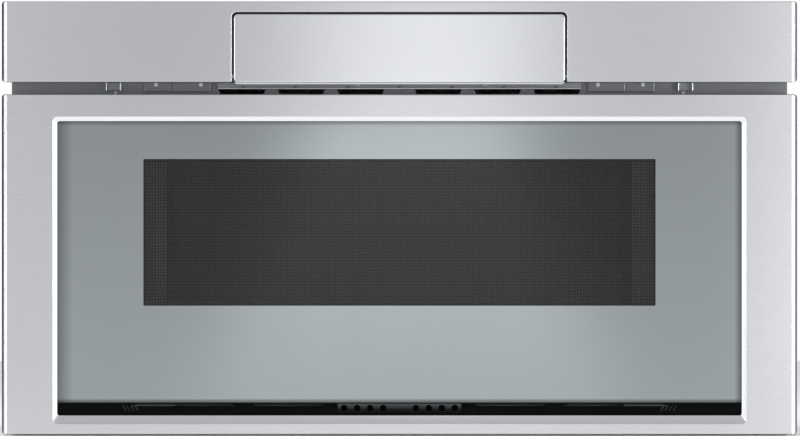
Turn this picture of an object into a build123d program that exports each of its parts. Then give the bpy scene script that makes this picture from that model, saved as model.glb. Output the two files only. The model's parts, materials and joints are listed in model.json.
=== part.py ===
from build123d import *
from math import atan, atan2, cos, dist, pi, radians, sin, sqrt, tan
import os

# Microwave drawer for building in under a worktop. Millimetres. +X is to the right as one faces
# the drawer, the drawer opens towards -Y and +Z is up. The origin is on the floor of the cabinet
# opening, in the middle of the width and of the overall depth.

os.makedirs("parts", exist_ok=True)

# ---- front, as seen from the room ----
front_width = 759.0
drawer_front_height = 324.6
drawer_lift = 1.2            # lower edge of the drawer front above the base
front_gap = 11.7             # between drawer front and fascia
fascia_height = 77.0
stile_width = 49.0
top_rail = 21.7
bottom_rail = 10.5
bevel_width = 3.8            # sloped return of the frame, sides and top
bottom_bevel_width = 7.6
vent_slot_height = 12.0      # dark slot between the frame's lower bevel and the glass
window_in_choke = 5.6        # window's side inside the choke channel
window_height = 140.0
window_above_glass = 92.8    # lower edge of the window above the lower edge of the glass
corner_round = 3.0
edge_round = 2.0

# ---- depths ----
front_reach = 40.0           # drawer face to the cabinet's face
fascia_setback = 1.3         # fascia face behind the drawer face
frame_depth = 20.0
glass_recess = 3.5
glass_thickness = 4.0
glass_lap = 6.0              # glass behind the frame's bevel
case_depth = 575.0
bush_proud = 3.0             # cord inlet bush behind the back plate
sheet = 1.0
plate = 1.5                  # front plate and base plate
seat = 0.3                   # clearance between pieces that are seated loosely
running_fit = 0.05           # radial clearance of a shaft in its bore

# ---- drawer ----
travel = 375.0
bin_beside_rail = 22.5       # inside of the bin to the back of the outer rail
bin_depth = 421.0            # inside
bin_height = 180.0           # inside
bin_wall = 1.0
bin_floor = 105.0            # inside floor of the pressed bin
bin_corner = 6.0
bin_bottom_round = 6.0
bin_rim = 4.0
tile_thickness = 5.0
tile_corner = 5.0
choke_width = 14.0
choke_reach = 21.0           # choke channel outside the back of the outer rail
choke_low = 70.0
choke_high = 320.0
choke_corner = 6.0
choke_cover_thickness = 3.0
face_clearance = 1.5         # choke cover to the front plate
pane_thickness = 3.0
pane_lap = 6.0
screen_thickness = 0.6
vent_hole_radius = 3.0
vent_hole_pitch = 12.4
vent_hole_count = 4          # round holes on each side of the middle
vent_hole_start = 15.6
vent_hole_drop = 4.8         # below the glass
slot_drop = 2.1              # middle of the slots below the glass
slot_height = 2.2
scoop_depth = 1.8            # hollow that leads the air into holes and slots
scoop_height = 4.0           # below the slots
straight_slot_x = 106.0
straight_slot_length = 66.0
sloped_slot_x = 206.0
sloped_slot_length = 104.0
grille_rib_x = 251.0
grille_rib_pitch = 3.9
grille_rib_count = 4

# ---- latches ----
latch_beside_choke = 9.5
latch_z = 309.0
latch_slot_width = 12.0
latch_slot_height = 26.0
hook_thickness = 5.0
hook_reach = 24.0            # behind the front plate's rear face
hook_height = 14.0
hook_foot = 18.0
switch_width = 24.0
switch_depth = 44.0
switch_block = 13.0

# ---- cabinet body ----
case_inset = 26.5            # side of the case inside the front's edge
case_rise = 34.5             # case roof above the fascia's lower edge
case_round = 3.0
case_register = 0.5          # case stands this deep in the front plate's rear face
flange_inset = 8.5
flange_drop = 4.5            # top of the flange below the fascia's top
chamber_gap = 9.5            # bin to chamber, each side and rear
chamber_under = 9.0          # chamber floor below the bin's floor
chamber_over = 11.0          # chamber roof above the bin's rim
well_radius = 100.0
well_depth = 20.0
shaft_hole_radius = 14.0
lamp_hole_radius = 16.0
case_screw_radius = 1.9
case_screw_inset = 12.0
case_screw_low = 40.0        # and as far below the case's roof
cabinet_hole_radius = 2.25
cabinet_hole_inset = 9.0     # from the flange's side edge
cabinet_hole_low = 60.0
cabinet_hole_rise = 230.0
louvre_length = 60.0
louvre_height = 4.0
louvre_pitch = 12.0
louvre_count = 8
louvre_z = 150.0
back_louvre_length = 120.0
back_louvre_z = 235.0
back_louvre_x = (-150.0, 170.0)
chamber_vent_length = 40.0
chamber_vent_height = 3.0
chamber_vent_pitch = 9.0
chamber_vent_count = 6
base_lip = 14.0
base_slot_length = 50.0
base_slot_width = 5.0
base_slot_pitch = 14.0
base_rib_width = 16.0
base_rib_front = 120.0       # behind the front plate's rear face
base_rib_rear = 470.0
base_rib_inset = 30.0        # rib ends inside the chamber

# ---- gap between drawer front and fascia ----
panel_step_low = 2.0         # outer half of each raised panel
panel_step_high = 3.5        # inner half
panel_outer = 244.5
panel_fold = 216.5
panel_inner = 180.5
panel_drop = 8.9             # raised panels reach this far below the fascia
front_screw_x = (190.0, 233.0)
front_screw_drop = 2.2       # below the fascia's lower edge
front_screw_radius = 1.1
vent_count = 3               # on each side of the middle
vent_start = 37.1
vent_pitch = 56.8
vent_width = 45.2
vent_height = 11.9
vent_slope = 66.0
vent_drop = 18.5             # lower edge of the vents below the fascia's lower edge
strip_half = 174.0
strip_reach = 4.5            # exhaust strip in front of the front plate
lip_reach = 2.5
lip_rise = 0.3               # lip above the vents
strip_tab = 10.5
strip_tab_height = 2.5
bracket_x = 273.5
bracket_width = 12.0
bracket_reach = 9.0
bracket_drop = 8.2           # below the fascia's lower edge

# ---- slides ----
rail_height = 45.0
rail_depth = 12.7
rail_gauge = 1.2
rail_length = 425.0
rail_to_case = 110.0         # beside the rails, for the electrical parts
rail_z = 42.0
rail_start_gap = 3.0         # rails behind the front plate's rear face
rail_foot = 9.0
rail_tab = 8.0               # front tab of the inner rail
race_gap = 0.3
rail_slot_clear = 2.5
rail_window_length = 40.0
rail_window_height = 14.0
rail_window_pitch = 120.0

# ---- rack drive ----
rack_module = 1.5
pinion_teeth = 16
rack_inside_rail = 93.0      # middle of the rack to the back of the outer rail
rack_width = 10.0
rack_line = 50.0             # pitch line
rack_back_height = 12.0
rack_slot_clear = 2.0
rack_foot = 14.0
pinion_y = 40.0              # behind the front plate's rear face
drive_shaft_radius = 3.0
gearbox_gap = 2.0            # between a wheel and the gearbox beside it
gearbox_thickness = 16.0
gearbox_front = 26.0
gearbox_rear = 34.0
gearbox_above = 22.0
gearbox_round = 4.0
drive_motor_radius = 17.0
drive_motor_length = 40.0
motor_cap_radius = 6.0
motor_cap_length = 5.0
backlash = 0.3
pressure_angle = 20.0
addendum = 0.95              # of the module
dedendum = 1.25

# ---- control flap ----
cover_width = 316.5
cover_height = 67.1
cover_gap = 1.4
cover_drop = 2.0             # cover's lower edge below the fascia's
cover_return = 5.0
cover_corner = 4.0
pivot_back = 8.0             # pivot behind the cover's face
pivot_up = 7.6               # pivot above the cover's lower edge
flap_depth = 26.0            # housing behind the pivot
flap_wall = 2.0
flap_side_gap = 3.0          # housing inside the cover's side edge
touch_thickness = 2.5
touch_fall = 6.7             # rear edge of the touch glass below its front edge
touch_drop = 0.8             # front edge of the touch glass below the cover's top
housing_rear_height = 14.0
board_thickness = 1.6
touch_key_count = 5
touch_key_pitch = 60.0
touch_key_width = 16.0
touch_key_depth = 12.0
touch_key_height = 3.4
hinge_pin_radius = 2.5
hinge_collar_radius = 4.5
sector_teeth = 34
tilt_pinion_teeth = 14
tilt_module = 1.0
sector_width = 5.0
sector_gap = 2.5             # sector beside the fascia's notch
sector_mesh_angle = 45.0     # direction from the pivot to the tilt pinion, up from the rear
sector_tooth_count = 7
tilt_shaft_radius = 1.5
tilt_box_half = 11.0
tilt_box_above = 26.0
tilt_box_thickness = 12.0
tilt_motor_radius = 10.0
tilt_motor_length = 30.0

# ---- microwave parts ----
guide_width = 90.0
guide_height = 41.0
guide_wall = 1.0
guide_rear_gap = 22.0
guide_ear = 12.0
guide_ear_length = 30.0
anode_radius = 20.0
antenna_radius = 8.0
antenna_length = 24.0
yoke_half_width = 38.0
yoke_half_depth = 42.0
yoke_height = 76.0
yoke_sheet = 2.0
fin_count = 4
fin_pitch = 11.0
fin_start = 18.0
filter_box = 60.0
filter_box_height = 28.0
stirrer_radius = 88.0
stirrer_blade_width = 44.0
stirrer_hub_radius = 7.0
stirrer_hub_height = 11.0
stirrer_sheet = 1.2
stirrer_drop = 12.0          # blades below the chamber's floor
stirrer_shaft_radius = 3.0
stirrer_motor_radius = 25.0
stirrer_motor_height = 16.0
cover_lap = 6.0
stirrer_cover_thickness = 2.0
lamp_x = -150.0
lamp_back = 330.0            # behind the front plate's rear face
lamp_plate = 60.0
lamp_socket_radius = 15.0
lamp_socket_height = 22.0
lamp_cap_radius = 9.0
lamp_height = 38.0

# ---- fan ----
fan_radius = 52.0
fan_hub_radius = 14.0
fan_blades = 7
fan_root_pitch = 50.0
fan_tip_pitch = 28.0
fan_root_chord = 19.0
fan_tip_chord = 30.0
fan_blade_sheet = 1.6
fan_hub_length = 20.0
fan_shaft_radius = 2.0
fan_ring = 56.0
fan_ring_wall = 2.0
fan_frame = 62.0
fan_left = -150.0            # motor side of the fan's frame
fan_right = -112.0
fan_from_back = 67.0
fan_above_guide = 75.0
fan_foot = 6.0
fan_foot_length = 30.0
spoke_width = 5.0
spoke_start = 20.0
fan_motor_radius = 24.0
fan_motor_length = 32.0
duct_wall = 2.0

# ---- electrical parts ----
core_width = 76.0
core_depth = 100.0
core_height = 78.0
coil_width = 92.0
coil_depth = 60.0
coil_height = 50.0
coil_round = 6.0
core_foot = 8.0
transformer_from_side = 60.0
transformer_back = 360.0     # behind the front plate's rear face
capacitor_length = 88.0
capacitor_width = 34.0
capacitor_height = 52.0
capacitor_back = 230.0
terminal_height = 10.0
terminal_width = 8.0
terminal_spread = 14.0
board_side_gap = 8.0         # power board beside the case's side
board_back = 60.0
board_length = 240.0
board_low = 40.0
board_high = 200.0
spacer = 6.0
board_inset = 10.0
filter_width = 80.0
filter_depth = 90.0
filter_side = 14.0
filter_from_back = 150.0
filter_rise = 10.0
bush_radius = 5.0
bush_length = 14.0
bush_wall = 4.0
bush_flange = 8.0
inlet_inset = 48.0
inlet_z = 42.0
screw_head_radius = 4.4
screw_head_height = 2.0
front_head_radius = 1.9
front_head_height = 1.2
screw_length = 7.0

# ---- derived places ----
overall_depth = front_reach + case_depth + bush_proud
mount_y = front_reach - overall_depth / 2        # rear face of the front plate
case_y = mount_y - case_register                 # front edge of the case
face_y = mount_y - front_reach
fascia_y = face_y + fascia_setback
plate_y = mount_y - plate
back_y = mount_y + case_depth
case_back = back_y - sheet                       # inside face of the back plate
drawer_low = drawer_lift
drawer_high = drawer_low + drawer_front_height
fascia_low = drawer_high + front_gap
fascia_high = fascia_low + fascia_height
half_front = front_width / 2
half_case = half_front - case_inset
rail_x = half_case - rail_to_case                # back of the outer rail
half_bin = rail_x - bin_beside_rail
choke_side = rail_x + choke_reach
rack_x = rail_x - rack_inside_rail
open_x = half_front - stile_width
open_low = drawer_low + bottom_rail
open_high = drawer_high - top_rail
sight_x = open_x - bevel_width
sight_low = open_low + bottom_bevel_width
sight_high = open_high - bevel_width
glass_y = face_y + glass_recess
glass_low = sight_low + vent_slot_height
panel_y = glass_y + glass_thickness
window_low = glass_low + window_above_glass
window_high = window_low + window_height
screen_y = panel_y + sheet
choke_back = plate_y - face_clearance - choke_cover_thickness
choke_in = choke_side - choke_width
half_window = choke_in - window_in_choke
latch_x = choke_side + latch_beside_choke
bin_front = choke_back + sheet                   # inside face of the bin's front
bin_back = bin_front + bin_depth
case_height = fascia_low + case_rise
half_flange = half_front - flange_inset
flange_height = fascia_high - flange_drop
half_chamber = half_bin + chamber_gap
chamber_depth = bin_depth + 2 * chamber_gap
chamber_floor = bin_floor - chamber_under
chamber_top = bin_floor + bin_height + chamber_over
well_y = mount_y + chamber_depth / 2
vent_low = fascia_low - vent_drop
vent_high = vent_low + vent_height
lip_z = vent_high + lip_rise
slot_half = cover_width / 2 + cover_gap
notch_high = fascia_low - cover_drop + cover_height + cover_gap
pivot_y = fascia_y + pivot_back
pivot_z = fascia_low - cover_drop + pivot_up
pinion_radius = rack_module * pinion_teeth / 2
sector_radius = tilt_module * sector_teeth / 2
tilt_pinion_radius = tilt_module * tilt_pinion_teeth / 2
shaft_axis_y = mount_y + pinion_y
shaft_axis_z = rack_line - pinion_radius
guide_low = chamber_floor - sheet - well_depth - guide_height
guide_top = guide_low + guide_height
guide_front = well_y - guide_width / 2
guide_back = case_back - guide_rear_gap
tube_y = guide_back - guide_width / 2
fan_y = case_back - fan_from_back
fan_z = guide_top + fan_above_guide
inlet_x = -half_case + inlet_inset


def front_plane(y):
    """Sketch plane facing the room at depth y: sketch x is the object's x, sketch y its height."""
    return Plane.XZ.offset(-y)


def side_plane(x, y=0.0, z=0.0):
    """Sketch plane facing right at x, its origin at (y, z): sketch x is the object's y, sketch y its z."""
    return Plane(origin=(x, y, z), x_dir=(0, 1, 0), z_dir=(1, 0, 0))


def rect(x0, x1, y0, y1, mode=Mode.ADD):
    """Rectangle between two corners, in the open sketch."""
    with Locations(((x0 + x1) / 2, (y0 + y1) / 2)):
        Rectangle(x1 - x0, y1 - y0, mode=mode)


def round_rect(x0, x1, y0, y1, radius, mode=Mode.ADD):
    """Rounded rectangle between two corners, in the open sketch."""
    with Locations(((x0 + x1) / 2, (y0 + y1) / 2)):
        RectangleRounded(x1 - x0, y1 - y0, radius, mode=mode)


def block(x0, x1, y0, y1, z0, z1, mode=Mode.ADD):
    """Box between two corners, in the open part."""
    with Locations(((x0 + x1) / 2, (y0 + y1) / 2, (z0 + z1) / 2)):
        Box(x1 - x0, y1 - y0, z1 - z0, mode=mode)


def rod(start, direction, radius, length, mode=Mode.ADD):
    """Cylinder from a start point along a direction, in the open part."""
    with BuildSketch(Plane(origin=start, z_dir=direction)) as circle:
        Circle(radius)
    extrude(circle.sketch, amount=length, mode=mode)


def write(name, piece):
    """Label the finished piece and write it as one file."""
    piece.part.label = name
    export_step(piece.part, f"parts/{name}.step")


def both(low, high, side):
    """Interval low..high mirrored to the given side, smaller end first."""
    return (low, high) if side > 0 else (-high, -low)


def roll(base, radius):
    """Angle swept by the involute of a base circle up to the given radius."""
    ratio = sqrt(max((radius / base) ** 2 - 1, 0))
    return ratio - atan(ratio)


def gear_points(teeth, module, first_angle, count):
    """Outline of count neighbouring teeth about the origin, the first at first_angle (radians)."""
    pitch = module * teeth / 2
    base = pitch * cos(radians(pressure_angle))
    root = pitch - dedendum * module
    tip = pitch + addendum * module
    half_tooth = pi / teeth / 2 - backlash / 4 / pitch + roll(base, pitch)
    levels = [max(base, root), pitch, tip]
    polar = []
    for k in range(count):
        middle = first_angle + 2 * pi / teeth * k
        flank = [(radius, half_tooth - roll(base, radius)) for radius in levels]
        polar.append((root, middle - half_tooth))
        polar += [(radius, middle - half) for radius, half in flank]
        polar += [(radius, middle + half) for radius, half in reversed(flank)]
        polar.append((root, middle + half_tooth))
    points = [(radius * cos(angle), radius * sin(angle)) for radius, angle in polar]
    return [p for k, p in enumerate(points) if k == 0 or dist(p, points[k - 1]) > 0.01]


def channel(side, back, half_height, web, lip):
    """Slide profile in the open sketch: a channel open towards the middle of the oven."""
    x0, x1 = both(rail_x - rail_depth, back, side)
    rect(x0, x1, rail_z - half_height, rail_z + half_height)
    x0, x1 = both(rail_x - rail_depth, back - web, side)
    rect(x0, x1, rail_z - half_height + lip, rail_z + half_height - lip, mode=Mode.SUBTRACT)


# ================= cabinet =================

screw_x = half_case - case_screw_inset
screw_rows = (case_screw_low, case_height - case_screw_low)
screw_places = [(side * screw_x, z) for side in (-1, 1) for z in screw_rows]

with BuildPart() as base_plate:
    block(-half_case, half_case, case_y, case_back, 0, plate)
    for side in (-1, 1):
        x0, x1 = both(half_case - 2 * sheet, half_case - sheet, side)
        block(x0, x1, mount_y, case_back, plate, plate + base_lip)
    with BuildSketch(Plane.XY):
        with Locations((0, back_y - 1.4 * base_slot_length)):
            with GridLocations(base_slot_pitch, 0, louvre_count, 1):
                Rectangle(base_slot_width, base_slot_length)
    extrude(amount=plate, mode=Mode.SUBTRACT)
    for y in (mount_y + base_rib_front, mount_y + base_rib_rear):
        block(-half_chamber + base_rib_inset, half_chamber - base_rib_inset, y, y + base_rib_width,
              plate, 2 * plate)
write("base_plate", base_plate)

with BuildPart() as outer_case:
    with BuildSketch(front_plane(case_y)):
        rect(-half_case, half_case, plate, case_height)
    extrude(amount=case_y - case_back)
    fillet(outer_case.faces().sort_by(Axis.Z)[-1].edges().filter_by(Axis.Y), case_round)
    with BuildSketch(front_plane(case_y)):
        rect(-half_case + sheet, half_case - sheet, plate, case_height - sheet)
    extrude(amount=case_y - case_back, mode=Mode.SUBTRACT)
    with BuildSketch(side_plane(-half_case, back_y - 2 * louvre_length, louvre_z)):
        with GridLocations(0, louvre_pitch, 1, louvre_count):
            Rectangle(louvre_length, louvre_height)
    extrude(amount=2 * half_case, mode=Mode.SUBTRACT)
write("outer_case", outer_case)

with BuildPart() as back_plate:
    with BuildSketch(front_plane(case_back)):
        rect(-half_case, half_case, 0, case_height)
        for x in back_louvre_x:
            with Locations((x, back_louvre_z)):
                with GridLocations(0, louvre_pitch, 1, louvre_count):
                    Rectangle(back_louvre_length, louvre_height, mode=Mode.SUBTRACT)
        with Locations((inlet_x, inlet_z)):
            Circle(bush_radius + bush_wall + running_fit, mode=Mode.SUBTRACT)
        with Locations(screw_places):
            Circle(case_screw_radius, mode=Mode.SUBTRACT)
    extrude(amount=-sheet)
write("back_plate", back_plate)

front_screw_z = fascia_low - front_screw_drop
front_screws_at = [(side * x, front_screw_z) for side in (-1, 1) for x in front_screw_x]

with BuildPart() as front_plate:
    with BuildSketch(front_plane(plate_y)):
        rect(-half_flange, half_flange, 0, flange_height)
        rect(-half_chamber, half_chamber, chamber_floor, chamber_top, mode=Mode.SUBTRACT)
        for side in (-1, 1):
            x0, x1 = both(rail_x - rail_depth - rail_slot_clear, rail_x + rail_slot_clear, side)
            half_slot = rail_height / 2 + rail_slot_clear
            rect(x0, x1, rail_z - half_slot, rail_z + half_slot, mode=Mode.SUBTRACT)
            with Locations((side * latch_x, latch_z)):
                Rectangle(latch_slot_width, latch_slot_height, mode=Mode.SUBTRACT)
            x = side * (half_flange - cabinet_hole_inset)
            with Locations((x, cabinet_hole_low), (x, cabinet_hole_low + cabinet_hole_rise)):
                Circle(cabinet_hole_radius, mode=Mode.SUBTRACT)
        half_rack = rack_width / 2 + rack_slot_clear
        rect(rack_x - half_rack, rack_x + half_rack, rack_line - 2 * rack_module - rack_slot_clear,
             rack_line + rack_back_height + rack_slot_clear, mode=Mode.SUBTRACT)
        x = vent_start + (vent_count - 1) / 2 * vent_pitch
        with Locations((-x, (vent_low + vent_high) / 2), (x, (vent_low + vent_high) / 2)):
            with GridLocations(vent_pitch, 0, vent_count, 1):
                Trapezoid(vent_width, vent_height, vent_slope, rotation=180, mode=Mode.SUBTRACT)
    extrude(amount=-plate)
    for side in (-1, 1):
        x0, x1 = both(panel_fold, panel_outer, side)
        block(x0, x1, plate_y - panel_step_low, plate_y, fascia_low - panel_drop, fascia_low)
        x0, x1 = both(panel_inner, panel_fold, side)
        block(x0, x1, plate_y - panel_step_high, plate_y, fascia_low - panel_drop, fascia_low)
    with BuildSketch(front_plane(plate_y - panel_step_high)):
        with Locations(front_screws_at):
            Circle(front_screw_radius + seat / 3)
    extrude(amount=-panel_step_high - plate, mode=Mode.SUBTRACT)
    # shallow seat that the front edge of the case stands in
    with BuildSketch(front_plane(case_y)):
        rect(-half_case - seat, half_case + seat, 0, case_height + seat)
    extrude(amount=-case_register, mode=Mode.SUBTRACT)
write("front_plate", front_plate)

strip_front = plate_y - strip_reach
with BuildPart() as exhaust_strip:
    with BuildSketch(side_plane(-strip_half)):
        rect(strip_front, strip_front + sheet, lip_z, fascia_low - seat)
        rect(strip_front - lip_reach, plate_y, lip_z, lip_z + sheet)
    extrude(amount=2 * strip_half)
    block(-strip_tab, strip_tab, strip_front - sheet, strip_front, fascia_low - seat - strip_tab_height,
          fascia_low - seat)
write("exhaust_strip", exhaust_strip)

with BuildPart() as fascia:
    with BuildSketch(front_plane(fascia_y)):
        round_rect(-half_front, half_front, fascia_low, fascia_high, corner_round)
        rect(-slot_half, slot_half, fascia_low - sheet, notch_high, mode=Mode.SUBTRACT)
    extrude(amount=fascia_y - plate_y)
    fillet(fascia.faces().sort_by(Axis.Y)[0].edges(), edge_round / 2)
    with BuildSketch(front_plane(fascia_y + sheet)):
        round_rect(-half_front + sheet, half_front - sheet, fascia_low + sheet, fascia_high - sheet,
                   corner_round - sheet)
        rect(-slot_half - sheet, slot_half + sheet, fascia_low, notch_high + sheet, mode=Mode.SUBTRACT)
    extrude(amount=fascia_y + sheet - plate_y, mode=Mode.SUBTRACT)
    for side in (-1, 1):
        rod((side * (slot_half - sheet), pivot_y, pivot_z), (side, 0, 0), hinge_pin_radius + running_fit,
            3 * sheet, mode=Mode.SUBTRACT)
write("fascia", fascia)

for side, name in ((-1, "left"), (1, "right")):
    x0, x1 = both(bracket_x - bracket_width / 2, bracket_x + bracket_width / 2, side)
    low = fascia_low - bracket_drop
    with BuildPart() as fascia_bracket:
        with BuildSketch(front_plane(plate_y - bracket_reach)):
            rect(x0, x1, low, fascia_low)
            rect(x0 + sheet, x1 - sheet, low + sheet, fascia_low, mode=Mode.SUBTRACT)
        extrude(amount=-bracket_reach)
        block(x0, x1, plate_y - sheet, plate_y, low, fascia_low)
    write(f"fascia_bracket_{name}", fascia_bracket)

with BuildPart() as oven_chamber:
    with BuildSketch(front_plane(case_y)):
        rect(-half_chamber - sheet, half_chamber + sheet, chamber_floor - sheet, chamber_top + sheet)
    extrude(amount=case_y - mount_y - chamber_depth - sheet)
    rod((0, well_y, chamber_floor - sheet), (0, 0, -1), well_radius + sheet, well_depth)
    with BuildSketch(front_plane(case_y)):
        rect(-half_chamber, half_chamber, chamber_floor, chamber_top)
    extrude(amount=case_y - mount_y - chamber_depth, mode=Mode.SUBTRACT)
    rod((0, well_y, chamber_floor), (0, 0, -1), well_radius, well_depth, mode=Mode.SUBTRACT)
    rod((0, well_y, chamber_floor), (0, 0, -1), shaft_hole_radius, well_depth + 2 * sheet,
        mode=Mode.SUBTRACT)
    with BuildSketch(side_plane(-half_chamber - sheet, mount_y + chamber_depth - 1.5 * chamber_vent_length,
                                chamber_top - 1.6 * chamber_vent_length)):
        with GridLocations(0, chamber_vent_pitch, 1, chamber_vent_count):
            Rectangle(chamber_vent_length, chamber_vent_height)
    extrude(amount=2 * half_chamber + 2 * sheet, mode=Mode.SUBTRACT)
    rod((lamp_x, mount_y + lamp_back, chamber_top), (0, 0, 1), lamp_hole_radius, 2 * sheet,
        mode=Mode.SUBTRACT)
write("oven_chamber", oven_chamber)

with BuildPart() as stirrer_cover:
    rod((0, well_y, chamber_floor), (0, 0, 1), well_radius + cover_lap, stirrer_cover_thickness)
write("stirrer_cover", stirrer_cover)

half_guide = guide_width / 2
with BuildPart() as waveguide:
    block(-half_guide, half_guide, guide_front, guide_back, guide_low, guide_top)
    block(-half_guide + guide_wall, half_guide - guide_wall, guide_front + guide_wall,
          guide_back - guide_wall, guide_low + guide_wall, guide_top - guide_wall, mode=Mode.SUBTRACT)
    rod((0, well_y, guide_low), (0, 0, 1), shaft_hole_radius, guide_height, mode=Mode.SUBTRACT)
    rod((0, tube_y, guide_top - 2 * guide_wall), (0, 0, 1), 2 * antenna_radius, 3 * guide_wall,
        mode=Mode.SUBTRACT)
    for side in (-1, 1):
        x0, x1 = both(half_guide, half_guide + guide_ear, side)
        block(x0, x1, guide_front + guide_wall, guide_front + guide_ear_length, guide_top - guide_wall,
              guide_top)
        block(x0, x1, guide_back - guide_ear_length, guide_back, guide_low, guide_low + guide_wall)
        x0, x1 = both(half_guide + guide_ear - guide_wall, half_guide + guide_ear, side)
        block(x0, x1, guide_back - guide_ear_length, guide_back, plate, guide_low)
write("waveguide", waveguide)

yoke_x = yoke_half_width
yoke_y = yoke_half_depth
yoke_top = guide_top + yoke_height
with BuildPart() as magnetron:
    block(-yoke_x, yoke_x, tube_y - yoke_y, tube_y + yoke_y, guide_top, yoke_top)
    block(-yoke_x, yoke_x, tube_y - yoke_y + yoke_sheet, tube_y + yoke_y - yoke_sheet,
          guide_top + yoke_sheet, yoke_top - yoke_sheet, mode=Mode.SUBTRACT)
    rod((0, tube_y, guide_top), (0, 0, 1), anode_radius, yoke_height)
    for k in range(fin_count):
        z = guide_top + fin_start + fin_pitch * k
        block(-yoke_x + yoke_sheet, yoke_x - yoke_sheet, tube_y - yoke_y + yoke_sheet,
              tube_y + yoke_y - yoke_sheet, z, z + sheet)
    block(-filter_box / 2, filter_box / 2, tube_y - filter_box / 2, tube_y + filter_box / 2, yoke_top,
          yoke_top + filter_box_height)
    rod((0, tube_y, guide_top), (0, 0, -1), antenna_radius, antenna_length)
write("magnetron", magnetron)

stirrer_z = chamber_floor - stirrer_drop
shaft_top = chamber_floor - stirrer_drop + 4
with BuildPart() as stirrer_motor:
    rod((0, well_y, guide_low), (0, 0, -1), stirrer_motor_radius, stirrer_motor_height)
    block(-stirrer_motor_radius - 9, stirrer_motor_radius + 9, well_y - 7, well_y + 7,
          guide_low - sheet, guide_low)
    rod((0, well_y, guide_low), (0, 0, 1), stirrer_shaft_radius, shaft_top - guide_low)
    block(-6, 6, well_y - stirrer_motor_radius - 9, well_y - stirrer_motor_radius / 2,
          guide_low - stirrer_motor_height + 3, guide_low - 4)
write("stirrer_motor", stirrer_motor)

with BuildPart() as stirrer:
    with BuildSketch(Plane.XY.offset(stirrer_z)):
        with Locations((0, well_y)):
            Circle(0.75 * stirrer_blade_width)
            Rectangle(2 * stirrer_radius - 8, stirrer_blade_width)
            Rectangle(stirrer_blade_width, 2 * stirrer_radius - 8)
    extrude(amount=stirrer_sheet)
    rod((0, well_y, stirrer_z - 5), (0, 0, 1), stirrer_hub_radius, stirrer_hub_height)
    rod((0, well_y, stirrer_z - 5), (0, 0, 1), stirrer_shaft_radius + running_fit,
        shaft_top - stirrer_z + 5 + seat, mode=Mode.SUBTRACT)
write("stirrer", stirrer)

lamp_y = mount_y + lamp_back
lamp_z = chamber_top + sheet
with BuildPart() as oven_lamp:
    with Locations((lamp_x, lamp_y, lamp_z + sheet / 2)):
        Box(lamp_plate, lamp_plate, sheet)
    rod((lamp_x, lamp_y, lamp_z), (0, 0, 1), lamp_socket_radius, lamp_socket_height)
    rod((lamp_x, lamp_y, lamp_z), (0, 0, 1), lamp_cap_radius, lamp_height)
    block(lamp_x - 8, lamp_x + 8, lamp_y - 4, lamp_y + 4, lamp_z + lamp_height, lamp_z + lamp_height + 8)
write("oven_lamp", oven_lamp)

# The fan stands to the left of the magnetron and blows across its fins.
with BuildPart() as fan_housing:
    with BuildSketch(side_plane(fan_left, fan_y, fan_z)):
        RectangleRounded(2 * fan_frame, 2 * fan_frame, 5)
        Circle(fan_ring, mode=Mode.SUBTRACT)
    extrude(amount=fan_ring_wall)
    with BuildSketch(side_plane(fan_left, fan_y, fan_z)):
        Circle(fan_ring + fan_ring_wall)
        Circle(fan_ring, mode=Mode.SUBTRACT)
    extrude(amount=fan_right - fan_left)
    for side in (-1, 1):
        y0, y1 = both(fan_frame - 3 * fan_foot, fan_frame - 2 * fan_foot, side)
        block(fan_left, fan_left + fan_foot_length, fan_y + y0, fan_y + y1, plate, fan_z - fan_frame + 4)
    with BuildSketch(side_plane(fan_left, fan_y, fan_z)):
        with PolarLocations((spoke_start + fan_ring + sheet) / 2, 4, start_angle=45):
            Rectangle(fan_ring + sheet - spoke_start, spoke_width)
    extrude(amount=fan_ring_wall)
write("fan_housing", fan_housing)

with BuildPart() as fan_motor:
    rod((fan_left, fan_y, fan_z), (-1, 0, 0), fan_motor_radius, fan_motor_length)
    rod((fan_left, fan_y, fan_z), (1, 0, 0), spoke_start, fan_ring_wall)
    rod((fan_left, fan_y, fan_z), (1, 0, 0), fan_shaft_radius, fan_hub_length + 10)
    block(fan_left - fan_motor_length + 6, fan_left - 8, fan_y - fan_motor_radius - 4,
          fan_y + fan_motor_radius + 4, fan_z - 14, fan_z + 14)
write("fan_motor", fan_motor)

hub_start = fan_left + 8
with BuildPart() as fan_wheel:
    rod((hub_start, fan_y, fan_z), (1, 0, 0), fan_hub_radius, fan_hub_length)
    for k in range(fan_blades):
        turn = 2 * pi * k / fan_blades
        out = (0, cos(turn), sin(turn))
        sections = []
        for radius, pitch, chord in ((fan_hub_radius - 2, fan_root_pitch, fan_root_chord),
                                     (fan_radius, fan_tip_pitch, fan_tip_chord)):
            middle = (hub_start + fan_hub_length / 2, fan_y + radius * out[1], fan_z + radius * out[2])
            lean = radians(pitch)
            across = (sin(lean), -out[2] * cos(lean), out[1] * cos(lean))
            with BuildSketch(Plane(origin=middle, x_dir=across, z_dir=out)) as section_face:
                Rectangle(chord, fan_blade_sheet)
            sections.append(section_face.sketch)
        loft(sections, ruled=True)
    rod((hub_start, fan_y, fan_z), (1, 0, 0), fan_shaft_radius + running_fit, fan_hub_length,
        mode=Mode.SUBTRACT)
write("fan_wheel", fan_wheel)

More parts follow.
